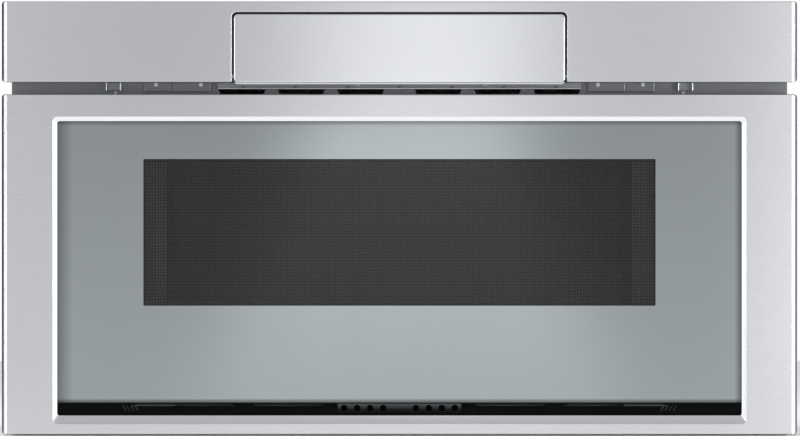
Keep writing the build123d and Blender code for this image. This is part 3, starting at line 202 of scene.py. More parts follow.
# Stainless sheet, belt-brushed along the width: short bright and dark hair lines that only show close
# up, and a soft sheen that spreads up and down. Lines are drawn 0.7 mm thick so that they show.
STAINLESS = Finish("brushed_stainless_sheet", "B7B8BC", "A9AAAE", 1.0, (0.26, 0.31), size=(16.0, 16.0, 0.7),
                   detail=4.0, contrast=1.4, bump=0.05, relief=0.03, patch=180.0)
# The sloped return round the glass at its sides and top: a lighter, glossier copy of the steel, a painted
# highlight that draws a narrow bright line on three sides.
SLOPE_PAINTED_HIGHLIGHT = Finish("stainless_return_painted_highlight", "D9DADD", "D2D3D6", 1.0, (0.14, 0.18),
                      size=(30.0, 30.0, 1.0), detail=2.0, patch=150.0)
# The same sheet with a finer brush on the small cover, so that it mirrors the room more clearly.
COVER_STEEL = Finish("fine_brushed_stainless_cover", "C1C3C7", "BBBCC0", 1.0, (0.19, 0.22),
                     size=(22.0, 22.0, 0.5), detail=3.0, contrast=1.1, bump=0.02, relief=0.02, patch=150.0)
# Float glass with a baked silver-grey mirror coat: even and cool, glossy, with hardly any texture, but for
# painted shade: darker bands next to the frame along both sides, the top and the foot.
SILVER_GLASS = Finish("silver_coated_float_glass", "8D9395", "898F91", 1.0, (0.14, 0.16),
                      size=(60.0, 60.0, 200.0), detail=1.0, patch=260.0,
                      sockets={"Coat Weight": 0.15, "Coat Roughness": 0.03, "Coat IOR": 1.5},
                      shades=(Shade(0, -327.0, 15.0, 0.45), Shade(0, 327.0, -7.5, 0.25),
                              Shade(2, 300.5, -5.0, 0.35), Shade(2, 32.8, 2.9, 0.38)))
# Smoked tempered glass over the window: almost no colour of its own, one sharp weak reflection.
WINDOW_GLASS = Finish("smoked_tempered_glass", "A6A6A6", "A2A2A2", 0.0, (0.01, 0.03), size=(90.0, 90.0, 90.0),
                      detail=1.0, sockets={"Transmission Weight": 1.0, "IOR": 1.32})
# Inner pane of the door, clear tempered glass with a slight green cast.
CLEAR_GLASS = Finish("clear_tempered_pane", "DCE6E2", "D6E2DE", 0.0, (0.01, 0.02), size=(90.0, 90.0, 90.0),
                     detail=1.0, sockets={"Transmission Weight": 1.0, "IOR": 1.45})
# Perforated sheet, sprayed satin black.
SCREEN_BLACK = Finish("satin_black_perforated_sheet", "2D2D2D", "252525", 0.0, (0.5, 0.6),
                      size=(0.9, 0.9, 0.9), detail=2.0)
# Black ink fired on the back of the glass round the window; the same black paints the screws' cross recesses
# as painted shade.
BLACK_INK_AND_RECESS_SHADE = Finish("fired_black_ink_and_recess_shade", "101112", "0B0C0D", 0.0, (0.3, 0.4), size=(3.0, 3.0, 3.0), detail=2.0)
# Glass-filled nylon mouldings, fine spark-eroded grain that scatters light.
BLACK_PLASTIC = Finish("moulded_black_nylon", "090A0A", "060707", 0.0, (0.42, 0.58), size=(0.8, 0.8, 0.8),
                       contrast=1.3, bump=0.25, relief=0.04, sockets={"IOR": 1.07})
# The ledge over the air holes: the same nylon, painted a lighter grey as painted light, with painted shade
# that darkens it towards its foot.
LEDGE_PAINTED_LIGHT = Finish("black_nylon_ledge_painted_light", "47494A", "404243", 0.0, (0.4, 0.5), size=(0.8, 0.8, 0.8),
                       contrast=1.3, sockets={"IOR": 1.07}, shades=(Shade(2, 25.0, 5.4, 0.1),))
# The same kind of moulding in dark grey, for the cover of the choke.
GREY_PLASTIC = Finish("moulded_dark_grey_nylon", "3A3B3C", "303132", 0.0, (0.42, 0.55), size=(0.8, 0.8, 0.8),
                      contrast=1.3, bump=0.2, relief=0.04)
# Hot-dip galvanised sheet: zinc crystals 6 mm across, each one catching light at its own angle.
GALVANISED = Finish("galvanised_steel_sheet", "B4B8BA", "9CA1A4", 0.85, (0.34, 0.5), Pattern.CELLS,
                    size=(6.0, 6.0, 6.0), bump=0.04, relief=0.05, patch=90.0, patch_share=0.3)
# The inner panel of the drawer front: galvanised, with painted shade that turns its foot behind the air strip
# almost black.
PANEL_WITH_PAINTED_SHADE = replace(GALVANISED, name="galvanised_sheet_painted_shade_foot",
                       shades=(Shade(2, 31.2, 0.8, 0.08),))
# Cold-rolled sheet with a thin grey coat: faint rolling lines and orange peel.
COATED_STEEL = Finish("grey_coated_steel_sheet", "8D8F92", "808285", 0.55, (0.35, 0.48), size=(9.0, 9.0, 1.6),
                      bump=0.06, relief=0.03, patch=70.0, patch_share=0.3)
# The front plate in the same coat, painted darker as painted shade: it stays dim in the gap.
FRONT_PLATE_PAINTED_SHADE = replace(COATED_STEEL, name="coated_front_plate_painted_shade", colour="76787B", second="6B6D70")
# Satin stainless pressing of the oven: soft, without direction.
CAVITY_STEEL = Finish("satin_stainless_pressing", "B9B8B5", "A8A7A4", 1.0, (0.30, 0.42), size=(2.0, 2.0, 2.0),
                      contrast=1.3, bump=0.05, relief=0.02, patch=60.0, patch_share=0.25)
# Bright zinc plate, drawn lengthwise: slightly blue, thin drawing lines.
ZINC_PLATE = Finish("bright_zinc_plated_steel", "C3C6CA", "A9ADB2", 1.0, (0.22, 0.36), size=(1.0, 30.0, 1.0),
                    contrast=1.4, bump=0.06, relief=0.02, patch=40.0)
# Zinc-plated screws, tumbled: a fine even grain.
SCREW_STEEL = Finish("zinc_plated_screw", "B9BBBE", "9B9DA1", 1.0, (0.25, 0.38), size=(0.8, 0.8, 0.8),
                     bump=0.05)
# Cordierite plate under a clear glaze, with tiny specks.
CERAMIC = Finish("glazed_ceramic_plate", "E6E3DB", "D8D4CA", 0.0, (0.12, 0.2), Pattern.CELLS,
                 size=(1.6, 1.6, 1.6), patch=80.0, patch_share=0.6,
                 sockets={"Coat Weight": 0.6, "Coat Roughness": 0.05})
# Pressed mica: flaky, warm brown with pearly scales.
MICA = Finish("pressed_mica_sheet", "A8997F", "85775F", 0.0, (0.3, 0.5), Pattern.CELLS, size=(5.0, 5.0, 5.0),
              bump=0.1, relief=0.05, patch_share=0.4, sockets={"Sheen Weight": 0.2})
# Natural acetal: milky, waxy moulding.
ACETAL = Finish("moulded_natural_acetal", "E2DED2", "D5D0C2", 0.0, (0.3, 0.38), size=(4.0, 4.0, 4.0),
                sockets={"Subsurface Weight": 0.05})
# Deep-drawn cans and pressed fins of zinc-coated steel and aluminium.
DRAWN_METAL = Finish("drawn_metal_can", "AEB0B2", "989A9D", 1.0, (0.28, 0.42), size=(6.0, 6.0, 0.6),
                     bump=0.08, relief=0.03)
# Varnished core sheets 0.5 mm thick, drawn 1 mm thick so that the stack shows.
LAMINATIONS = Finish("varnished_core_laminations", "6A5B4E", "41372F", 0.5, (0.35, 0.5), Pattern.LAYERS,
                     size=(3.2, 3.2, 3.2), bump=0.4, relief=0.1, patch_share=0.25)
# Glass-epoxy board under green solder mask, with the tracks' pattern just showing.
BOARD = Finish("green_solder_mask_board", "1F6B3D", "14512C", 0.0, (0.3, 0.42), Pattern.CELLS,
               size=(3.0, 3.0, 3.0), bump=0.1, relief=0.03)
# White nylon of the switches, slightly warm.
NYLON = Finish("moulded_white_nylon", "D9D7D0", "CCC9C1", 0.0, (0.38, 0.5), size=(1.2, 1.2, 1.2), bump=0.1)
# Steatite lamp socket and bulb cap.
LAMP = Finish("steatite_lamp_socket", "E3DDCF", "D2CBBB", 0.0, (0.3, 0.45), size=(1.5, 1.5, 1.5), bump=0.05)
# Black glass touch surface: a deep even black with a sharp reflection.
BLACK_GLASS = Finish("black_touch_glass", "0A0B0C", "08090A", 0.0, (0.04, 0.07), size=(90.0, 90.0, 90.0),
                     detail=1.0, sockets={"Coat Weight": 0.5})
# Pale grey screen print.
PRINT = Finish("pale_grey_print", "C9CCCE", "C3C6C8", 0.0, (0.4, 0.5), size=(2.0, 2.0, 2.0))
# Rolled matt paper: even, with no shine.
FLOOR = Finish("pale_matt_floor", "F4F4F4", "F1F1F1", 0.0, (0.6, 0.7), size=(40.0, 40.0, 40.0))

# The finish of each CAD node, by its slot or, before that, by its own name.
NODE_FINISHES = {
    "stainless": STAINLESS, "zinc_steel": GALVANISED, "plate_steel": COATED_STEEL,
    "cavity_steel": CAVITY_STEEL, "rail_steel": ZINC_PLATE, "screw_steel": SCREW_STEEL,
    "silver_glass": SILVER_GLASS, "clear_glass": CLEAR_GLASS, "black_screen": SCREEN_BLACK,
    "black_plastic": BLACK_PLASTIC, "black_glass": BLACK_GLASS, "ceramic": CERAMIC, "mica": MICA,
    "gear_plastic": ACETAL, "motor_metal": DRAWN_METAL, "core_steel": LAMINATIONS, "board": BOARD,
    "switch_plastic": NYLON, "lamp_glass": LAMP, "choke_cover": GREY_PLASTIC,
    "door_panel": PANEL_WITH_PAINTED_SHADE, "front_plate": FRONT_PLATE_PAINTED_SHADE,
}


# ---------------------------------------------------------------- meshes


@dataclass(frozen=True)
class Corner:
    """A corner of an outline seen from the room, in millimetres, and the side that starts there."""

    x: float
    z: float
    radius: float
    edge: float = 1.0        # how far the front edge of that side is rounded


def box_corners(half: float, low: float, high: float, radius: float, side: float = 1.0,
                level: float = 1.0, middle: float = 0.0) -> list[Corner]:
    """Corners of a rounded rectangle.

    Args:
        half: half the width.
        low: height of the lower side.
        high: height of the upper side.
        radius: radius of the corners.
        side: rounding of the upright edges.
        level: rounding of the level edges.
        middle: middle of the width.

    Returns:
        The four corners, anticlockwise as seen from the room.
    """
    left, right = middle - half, middle + half
    return [Corner(left, low, radius, level), Corner(right, low, radius, side),
            Corner(right, high, radius, level), Corner(left, high, radius, side)]


def outline(corners: list[Corner], inset: float, y: float, share: float = 0.0, sink: float = 0.0,
            steps: int = 6) -> Loop:
    """Follow an outline of level and upright sides, moved inwards, with rounded corners.

    Args:
        corners: the corners in order, anticlockwise as seen from the room.
        inset: how far every side is moved inwards; below zero is outwards.
        y: depth of the loop.
        share: further inset, as a share of each side's edge rounding.
        sink: further depth, as a share of each side's edge rounding.
        steps: straight pieces in each rounded corner.

    Returns:
        The points of the loop, the same number for every inset.
    """
    points = []
    for k, corner in enumerate(corners):
        before, after = corners[k - 1], corners[(k + 1) % len(corners)]
        into = Vector((corner.x - before.x, corner.z - before.z)).normalized()
        out = Vector((after.x - corner.x, after.z - corner.z)).normalized()
        convex = into.x * out.y - into.y * out.x > 0
        first, last = inset + share * before.edge, inset + share * corner.edge
        radius = max(corner.radius - (first + last) / 2 * (1 if convex else -1), LEAST_RADIUS)
        tip = Vector((corner.x, corner.z))
        tip += first * Vector((-into.y, into.x)) + last * Vector((-out.y, out.x))
        centre = tip + radius * (out - into)
        for step in range(steps + 1):
            angle = math.pi / 2 * step / steps
            edge = before.edge + (corner.edge - before.edge) * step / steps
            point = centre + radius * (into * math.sin(angle) - out * math.cos(angle))
            points.append((point.x, y + sink * edge, point.y))
    return points


def rounded_edge(corners: list[Corner], y: float, steps: int = 8) -> list[Loop]:
    """Follow a rounded front edge, from the side wall to the flat face and a little way onto it.

    Args:
        corners: the corners of the outline.
        y: depth of the flat face.
        steps: straight pieces across the rounding.

    Returns:
        The loops, from the rear to the front.
    """
    turns = [math.pi / 2 * k / steps for k in range(steps + 1)]
    loops = [outline(corners, 0, y, 1 - math.cos(t), 1 - math.sin(t)) for t in turns]
    return loops + [outline(corners, SUPPORT, y, 1)]


def put(name: str, data: ID) -> Object:
    """Put new data into the scene, as an object at the origin.

    Args:
        name: the object's name.
        data: a mesh, curve, camera or light.

    Returns:
        The new object.
    """
    made = bpy.data.objects.new(name, data)
    bpy.context.scene.collection.objects.link(made)
    return made


def baked(source: Object) -> Mesh:
    """Work out the mesh that an object shows, and remove the object.

    Args:
        source: a text, or an object with modifiers.

    Returns:
        The plain mesh.
    """
    bpy.context.view_layer.update()
    done = source.evaluated_get(bpy.context.evaluated_depsgraph_get())
    mesh = bpy.data.meshes.new_from_object(done)
    bpy.data.objects.remove(source)
    return mesh


def finish_mesh(name: str, mesh_data: bmesh.types.BMesh, finish: Finish, sharp: float = 35.0) -> Object:
    """Turn an edited mesh into an object at the origin, with its normals outwards.

    Args:
        name: the piece's name.
        mesh_data: closed surfaces, in millimetres.
        finish: what it is finished in.
        sharp: edges that bend by more than this many degrees stay sharp.

    Returns:
        The new object.
    """
    bmesh.ops.remove_doubles(mesh_data, verts=mesh_data.verts, dist=1e-5)
    bmesh.ops.scale(mesh_data, vec=(MM, MM, MM), verts=mesh_data.verts)
    bmesh.ops.recalc_face_normals(mesh_data, faces=mesh_data.faces)
    mesh = bpy.data.meshes.new(name)
    mesh_data.to_mesh(mesh)
    mesh_data.free()
    mesh.materials.append(finish.material())
    mesh.polygons.foreach_set("use_smooth", [True] * len(mesh.polygons))
    mesh.set_sharp_from_angle(angle=math.radians(sharp))
    return put(name, mesh)


def add_loops(mesh_data: bmesh.types.BMesh, loops: list[Loop], closed: bool) -> None:
    """Join loops of equal length into a surface.

    Args:
        mesh_data: the mesh that gets the faces.
        loops: the loops in order.
        closed: whether the last loop joins the first; otherwise both ends are capped.
    """
    rows = [[mesh_data.verts.new(point) for point in loop] for loop in loops]
    pairs = list(zip(rows, rows[1:])) + ([(rows[-1], rows[0])] if closed else [])
    for one, two in pairs:
        for k in range(len(one)):
            after = (k + 1) % len(one)
            mesh_data.faces.new((one[k], one[after], two[after], two[k]))
    if not closed:
        mesh_data.faces.new(rows[0])
        mesh_data.faces.new(rows[-1])


def loft(name: str, shells: list[list[Loop]], finish: Finish, closed: bool = False,
         sharp: float = 35.0) -> Object:
    """Skin rows of loops as one finished piece.

    Args:
        name: the piece's name.
        shells: for each separate surface, its loops in order.
        finish: what it is finished in.
        closed: whether the last loop joins the first; otherwise both ends are capped.
        sharp: edges that bend by more than this many degrees stay sharp.

    Returns:
        The new object.
    """
    mesh_data = bmesh.new()
    for loops in shells:
        add_loops(mesh_data, loops, closed)
    return finish_mesh(name, mesh_data, finish, sharp)


def attach(piece: Object, body: str, slot: str, *nodes: str) -> Object:
    """Make a finished piece ride on a body and stand for CAD nodes.

    Args:
        piece: the finished object.
        body: the CAD body that carries it.
        slot: the record's material slot; not used.
        *nodes: nodes that it replaces.

    Returns:
        The same object.
    """
    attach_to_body(piece, body)
    if nodes:
        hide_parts(*nodes)
    log.info("%s rides on %s, %d faces", piece.name, body, len(piece.data.polygons))
    return piece


def node_span(node: str) -> tuple[Vector, Vector]:
    """Lowest and highest corners of a CAD node, in millimetres."""
    low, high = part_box(node)
    return low / MM, high / MM


# ---------------------------------------------------------------- geometry nodes


class Repeat:
    """A Geometry Nodes tree in the making, with its named inputs."""

    def __init__(self, name: str) -> None:
        """Start an empty tree.

        Args:
            name: the tree's name.
        """
        self.tree = bpy.data.node_groups.new(name, "GeometryNodeTree")
        self.tree.interface.new_socket("Geometry", in_out="INPUT", socket_type="NodeSocketGeometry")
        self.tree.interface.new_socket("Geometry", in_out="OUTPUT", socket_type="NodeSocketGeometry")
        self.source = self.tree.nodes.new("NodeGroupInput")
        self.values: dict[str, object] = {}

    def size(self, name: str, value: float | int | tuple) -> NodeSocket:
        """Add a named input.

        Args:
            name: what the size is.
            value: a length or a vector in millimetres, or a whole number of pieces.

        Returns:
            The socket that gives it inside the tree, in metres.
        """
        kinds = {float: "NodeSocketFloat", int: "NodeSocketInt", tuple: "NodeSocketVector"}
        socket = self.tree.interface.new_socket(name, in_out="INPUT", socket_type=kinds[type(value)])
        if isinstance(value, tuple):
            value = tuple(length * MM for length in value)
        self.values[socket.identifier] = value * MM if isinstance(value, float) else value
        return self.source.outputs[name]

    def add(self, kind: str, inputs: dict | None = None, **settings: object) -> Node:
        """Add one node to the tree, as add_node does."""
        return add_node(self.tree, kind, inputs, **settings)

    def block(self, name: str, size: tuple, place: tuple) -> NodeSocket:
        """Add a box.

        Args:
            name: what the box is.
            size: its three sides, in millimetres.
            place: its middle, in millimetres.

        Returns:
            The box.
        """
        cube = self.add("GeometryNodeMeshCube", {"Size": self.size(name, size)})
        return self.add("GeometryNodeTransform", {
            "Geometry": cube.outputs[0], "Translation": self.size(f"{name} place", place)}).outputs[0]

    def drilled(self, block: NodeSocket, points: NodeSocket, radius: float,
                sides: int) -> NodeSocket:
        """Drill holes through a block from the front.

        Args:
            block: what is drilled.
            points: the places of the holes.
            radius: their radius, in millimetres.
            sides: flat sides of each hole.

        Returns:
            The drilled block.
        """
        drill = self.add("GeometryNodeMeshCylinder", {
            "Vertices": sides, "Radius": self.size("Hole radius", radius), "Depth": DRILL_LENGTH * MM})
        drills = self.add("GeometryNodeInstanceOnPoints", {
            "Points": points, "Instance": drill.outputs[0], "Rotation": (math.pi / 2, 0, 0)})
        solid = self.add("GeometryNodeRealizeInstances", {0: drills.outputs[0]})
        return self.add("GeometryNodeMeshBoolean", {"Mesh 1": block, "Mesh 2": solid.outputs[0]},
                        operation="DIFFERENCE").outputs[0]

    def mesh(self, name: str, shown: NodeSocket, finish: Finish,
             points: list[tuple] | None = None) -> Object:
        """Evaluate the tree and keep its result as a plain mesh object.

        Args:
            name: the piece's name.
            shown: the geometry that the tree makes.
            finish: what it is finished in.
            points: places in millimetres that the tree repeats a shape on.

        Returns:
            The new object, at the origin.
        """
        real = self.add("GeometryNodeRealizeInstances", {0: shown})
        dressed = self.add("GeometryNodeSetMaterial",
                           {"Geometry": real.outputs[0], "Material": finish.material()})
        self.add("NodeGroupOutput", {0: dressed.outputs[0]})
        start = bpy.data.meshes.new(name + "_points")
        start.from_pydata([tuple(c * MM for c in point) for point in points or [(0, 0, 0)]], [], [])
        carrier = put(name + "_carrier", start)
        modifier = carrier.modifiers.new("repeat", "NODES")
        modifier.node_group = self.tree
        for identifier, value in self.values.items():
            modifier[identifier] = value
        mesh = baked(carrier)
        mesh.name = name
        bpy.data.meshes.remove(start)
        return put(name, mesh)


# ---------------------------------------------------------------- the sub-assemblies


@dataclass
class DoorFrame:
    """The drawer's stainless trim frame, one pressing with a sloped return round the glass."""

    stile: float = 49.0
    top_rail: float = 21.7
    bottom_rail: float = 10.5
    slope: float = 3.8
    bottom_slope: float = 7.6
    slope_depth: float = 3.45
    outer_corner: float = 3.0
    opening_corner: float = 4.0
    sight_corner: float = 2.6
    side_edge: float = 5.3
    level_edge: float = 1.6
    lip: float = 0.7
    lip_steps: int = 4
    gauge: float = 1.0
    slope_facing: tuple[float, float] = (-0.9, -0.5)     # how far a slope's normal points to the room
    upward: float = 0.3              # a normal that rises more belongs to the lower slope

    def opening(self) -> list[Corner]:
        """Corners of the opening in the face.

        Returns:
            The corners, as box_corners gives them.
        """
        low, high = node_span("drawer_frame")
        return box_corners(high.x - self.stile, low.z + self.bottom_rail, high.z - self.top_rail,
                           self.opening_corner)

    def sight(self) -> list[Corner]:
        """Corners of the opening at the foot of the slope.

        Returns:
            The corners, as box_corners gives them.
        """
        low, high = node_span("drawer_frame")
        return box_corners(high.x - self.stile - self.slope, low.z + self.bottom_rail + self.bottom_slope,
                           high.z - self.top_rail - self.slope, self.sight_corner)

    def build(self) -> None:
        """Make the frame, with a painted highlight on the slopes at its sides and top, and let it stand for
        its node.
        """
        low, high = node_span("drawer_frame")
        outer = box_corners(high.x, low.z, high.z, self.outer_corner, self.side_edge, self.level_edge)
        face, rear = low.y, high.y
        loops = [outline(outer, 0, rear)] + rounded_edge(outer, face)
        loops.append(outline(self.opening(), -self.lip - SUPPORT, face))
        for k in range(self.lip_steps + 1):
            turn = math.pi / 4 * k / self.lip_steps
            loops.append(outline(self.opening(), self.lip * (math.sin(turn) - 1),
                                 face + self.lip * (1 - math.cos(turn))))
        foot, back = face + self.slope_depth, face + self.gauge + self.lip
        loops += [outline(self.sight(), 0, foot), outline(self.sight(), -self.gauge, foot + CLEAR),
                  outline(self.opening(), -self.gauge - self.lip, back),
                  outline(outer, self.gauge + self.side_edge, back),
                  outline(outer, self.gauge, face + self.gauge + self.side_edge),
                  outline(outer, self.gauge, rear)]
        frame_piece = loft("trim_frame", [loops], STAINLESS, closed=True)
        # The slopes at the sides and top take the lighter copy of the steel: a painted highlight.
        frame_piece.data.materials.append(SLOPE_PAINTED_HIGHLIGHT.material())
        half, top = high.x - self.stile + self.lip, high.z - self.top_rail + self.lip
        for polygon in frame_piece.data.polygons:
            normal, centre = polygon.normal, polygon.center / MM
            inside = abs(centre.x) < half and low.z + self.bottom_rail < centre.z < top
            if inside and self.slope_facing[0] < normal.y < self.slope_facing[1] and normal.z < self.upward:
                polygon.material_index = 1
        attach(frame_piece, "drawer", "stainless", "drawer_frame")


@dataclass
class DoorGlass:
    """The silvered door glass with its clear window, and the perforated screen behind it."""

    window_half: float = 244.4
    window_low: float = 124.1
    window_high: float = 264.1
    window_corner: float = 1.0
    ink_gap: float = 0.1
    ink_width: float = 1.6
    ink_thickness: float = 0.1
    arris: float = 0.5
    corner: float = 3.0
    hole_pitch: float = 2.862        # drawn coarser than the real 1.6 mm, so that the picture can show it
    web: float = 0.9

    def build(self) -> None:
        """Make the coated glass, its window, the fired border and the screen."""
        low, high = node_span("door_glass")
        plate = box_corners(high.x, low.z, high.z, self.corner)
        window = box_corners(self.window_half, self.window_low, self.window_high, self.window_corner)
        back = high.y
        coated = [outline(plate, 0, back), outline(plate, 0, low.y + self.arris),
                  outline(plate, self.arris, low.y), outline(window, 0, low.y), outline(window, 0, back)]
        piece = loft("silvered_glass", [coated], SILVER_GLASS, closed=True, sharp=12.0)
        attach(piece, "drawer", "silver_glass", "door_glass")
        pane = [outline(window, CLEAR, low.y + CLEAR), outline(window, CLEAR, back - CLEAR)]
        attach(loft("window_glass", [pane], WINDOW_GLASS), "drawer", "silver_glass")
        border = [outline(window, inset, y) for inset, y in (
            (self.ink_gap, back), (self.ink_width, back), (self.ink_width, back + self.ink_thickness),
            (self.ink_gap, back + self.ink_thickness))]
        attach(loft("window_border", [border], BLACK_INK_AND_RECESS_SHADE, closed=True), "drawer", "black_screen")
        self.build_screen()

    def build_screen(self) -> None:
        """Make the perforated screen as crossing webs."""
        low, high = node_span("window_screen")
        middle = (low + high) / 2
        repeat = Repeat("perforated_screen")
        pitch = repeat.size("Hole pitch", self.hole_pitch)
        layers = []
        wide, tall = high.x - low.x, high.z - low.z
        for axis, (reach, across) in enumerate(((wide, tall), (tall, wide))):
            count = int(reach / self.hole_pitch)
            start = -self.hole_pitch * (count - 1) / 2 * MM
            step = repeat.add("ShaderNodeCombineXYZ", {axis * 2: pitch})
            line = repeat.add("GeometryNodeMeshLine", {
                "Count": repeat.size(f"Webs {axis}", count), "Offset": step.outputs[0],
                "Start Location": (0, 0, start) if axis else (start, 0, 0)})
            deep = high.y - low.y
            bar = (across, deep, self.web) if axis else (self.web, deep, across)
            cube = repeat.add("GeometryNodeMeshCube", {"Size": repeat.size(f"Web size {axis}", bar)})
            layers.append(repeat.add("GeometryNodeInstanceOnPoints", {
                "Points": line.outputs[0], "Instance": cube.outputs[0]}).outputs[0])
        joined = repeat.add("GeometryNodeJoinGeometry", {0: layers})
        placed = repeat.add("GeometryNodeTransform", {
            "Geometry": joined.outputs[0], "Translation": repeat.size("Middle", tuple(middle))})
        piece = repeat.mesh("perforated_screen", placed.outputs[0], SCREEN_BLACK)
        attach(piece, "drawer", "black_screen", "window_screen")


@dataclass
class Fascia:
    """The stainless fascia with the notch for the control cover."""

    notch_half: float = 159.65
    notch_high: float = 404.0
    corner: float = 3.0
    notch_corner: float = 4.6
    foot_corner: float = 1.2
    side_edge: float = 5.3
    level_edge: float = 1.2
    notch_edge: float = 1.5
    foot_edge: float = 0.8
    gauge: float = 1.0

    def build(self) -> None:
        """Make the fascia and let it stand for its node."""
        low, high = node_span("fascia")
        half, notch = high.x, self.notch_half
        corners = [Corner(-half, low.z, self.corner, self.foot_edge),
                   Corner(-notch, low.z, self.foot_corner, self.notch_edge),
                   Corner(-notch, self.notch_high, self.notch_corner, self.notch_edge),
                   Corner(notch, self.notch_high, self.notch_corner, self.notch_edge),
                   Corner(notch, low.z, self.foot_corner, self.foot_edge),
                   Corner(half, low.z, self.corner, self.side_edge),
                   Corner(half, high.z, self.corner, self.level_edge),
                   Corner(-half, high.z, self.corner, self.side_edge)]
        loops = [outline(corners, self.gauge, low.y + 2 * self.side_edge),
                 outline(corners, self.gauge, high.y), outline(corners, 0, high.y)]
        piece = loft("fascia_sheet", [loops + rounded_edge(corners, low.y)], STAINLESS)
        attach(piece, "cabinet", "stainless", "fascia")


@dataclass
class ControlCover:
    """The stainless cover of the control flap, with returned edges and a rolled lower lip."""

    corner: float = 4.0
    edge: float = 1.5
    hem_rise: float = 1.2            # the rolled hem falls back below this height
    hem_back: float = 2.2
    gauge: float = 1.0

    def build(self) -> None:
        """Make the cover and let it stand for its node."""
        low, high = node_span("control_cover")
        face = box_corners(high.x, low.z + self.hem_rise, high.z, self.corner, self.edge, self.edge)
        hem = box_corners(high.x, low.z, high.z, self.corner, self.edge, self.edge)
        back = low.y + self.hem_back
        loops = [outline(hem, self.gauge, back + self.gauge), outline(hem, self.gauge, high.y),
                 outline(hem, 0, high.y), outline(hem, 0, back)]
        piece = loft("flap_cover", [loops + rounded_edge(face, low.y)], COVER_STEEL)
        attach(piece, "flap", "stainless", "control_cover")


@dataclass
class ExhaustStrip:
    """The bright lip and the holed strip in the gap above the drawer front."""

    hole_radius: float = 1.1
    hole_pitch: float = 49.8
    hole_count: int = 7
    hole_sides: int = 20
    hole_rise: float = 2.0
    gauge: float = 1.0
    stand_off: float = 4.5           # from the front plate to the strip's wall
    tab: tuple[float, float, float] = (21.0, 1.0, 2.5)
    hem_edge: float = 0.2

    def build(self) -> None:
        """Make the strip with its row of holes and its bare lip, and let them stand for the node."""
        low, high = node_span("exhaust_strip")
        front = high.y - self.stand_off
        repeat = Repeat("exhaust_strip")
        wall = repeat.block("Wall", (high.x - low.x, self.gauge, high.z - low.z),
                            (0.0, front + self.gauge / 2, (low.z + high.z) / 2))
        line = repeat.add("GeometryNodeMeshLine", {
            "Count": repeat.size("Holes", self.hole_count),
            "Start Location": (-self.hole_pitch * (self.hole_count - 1) / 2 * MM, front * MM,
                               (low.z + self.hole_rise) * MM),
            "Offset": (self.hole_pitch * MM, 0, 0)})
        cut = repeat.drilled(wall, line.outputs[0], self.hole_radius, self.hole_sides)
        tab = repeat.block("Tab", self.tab, (0.0, front - self.tab[1] / 2, high.z - self.tab[2] / 2))
        joined = repeat.add("GeometryNodeJoinGeometry", {0: [cut, tab]})
        piece = repeat.mesh("holed_exhaust_strip", joined.outputs[0], COATED_STEEL)
        attach(piece, "cabinet", "plate_steel", "exhaust_strip")
        hem = box_corners(high.x, low.z, low.z + self.gauge, self.gauge / 2, self.hem_edge, self.hem_edge)
        lip = [outline(hem, 0, front)] + rounded_edge(hem, low.y, steps=3)
        attach(loft("strip_lip", [lip], ZINC_PLATE), "cabinet", "plate_steel")


@dataclass
class FasciaBracket:
    """The two U-shaped clips that carry the fascia, open to the front with bare cut edges."""

    gauge: float = 1.3
    edge: float = 0.5
    corner: float = 0.4
    web_gap: float = 0.1             # between the web and each cheek

    def build(self) -> None:
        """Make both clips, each a coated web between bare cheeks, and let them stand for their nodes."""
        for side in ("left", "right"):
            node = f"fascia_bracket_{side}"
            low, high = node_span(node)
            middle, half, cheek = (low.x + high.x) / 2, (high.x - low.x) / 2, self.gauge / 2
            for name, finish, half_width, places, front in (
                    ("web", COATED_STEEL, half - self.web_gap, (middle,), high.y - self.gauge),
                    ("cheeks", ZINC_PLATE, cheek, (middle - half - cheek, middle + half + cheek), low.y)):
                shells = []
                for x in places:
                    corners = box_corners(half_width, low.z, high.z, self.corner, self.edge, self.edge, x)
                    shells.append([outline(corners, 0, high.y)] + rounded_edge(corners, front, steps=4))
                piece = loft(f"{node}_{name}", shells, finish)
                attach(piece, "cabinet", "plate_steel", *([node] if name == "web" else []))


@dataclass
class AirLedge:
    """The ledge over the eight air holes under the glass, with painted light and shade, and a black sheet
    behind the holes that paints the shade in them.
    """

    half: float = 59.0
    low: float = 22.4
    high: float = 30.6
    proud: float = 0.5
    hole_radius: float = 3.1
    hole_pitch: float = 12.4
    hole_start: float = 15.6
    hole_count: int = 4
    hole_sides: int = 28
    hole_z: float = 26.5
    backing_depth: float = 1.1       # behind the front of the inner panel
    backing_side: float = 8.0
    backing_foot: float = 3.0
    backing_rise: float = 1.0
    backing_corner: float = 1.0
    backing_edge: float = 0.1
    backing_gauge: float = 0.5

    def build(self) -> None:
        """Make the holed ledge and the backing, a black sheet of painted shade behind the holes."""
        face = node_span("vent_grille")[0].y
        places = [(way * (self.hole_start + self.hole_pitch * k), face, self.hole_z)
                  for way in (-1, 1) for k in range(self.hole_count)]
        repeat = Repeat("air_ledge")
        block = repeat.block("Block", (2 * self.half, self.proud, self.high - self.low),
                             (0.0, face - self.proud / 2 - CLEAR, (self.low + self.high) / 2))
        cut = repeat.drilled(block, repeat.source.outputs["Geometry"], self.hole_radius, self.hole_sides)
        attach(repeat.mesh("air_ledge", cut, LEDGE_PAINTED_LIGHT, places), "drawer", "black_plastic")
        # The backing stands for the shade inside the holes: painted shade.
        rear = node_span("door_panel")[0].y + self.backing_depth
        sheet = box_corners(self.half + self.backing_side, self.low - self.backing_foot,
                            self.high + self.backing_rise, self.backing_corner, self.backing_edge,
                            self.backing_edge)
        loops = [outline(sheet, 0, rear + self.backing_gauge)] + rounded_edge(sheet, rear, steps=2)
        attach(loft("painted_shade_backing", [loops], BLACK_PLASTIC), "drawer", "black_plastic")


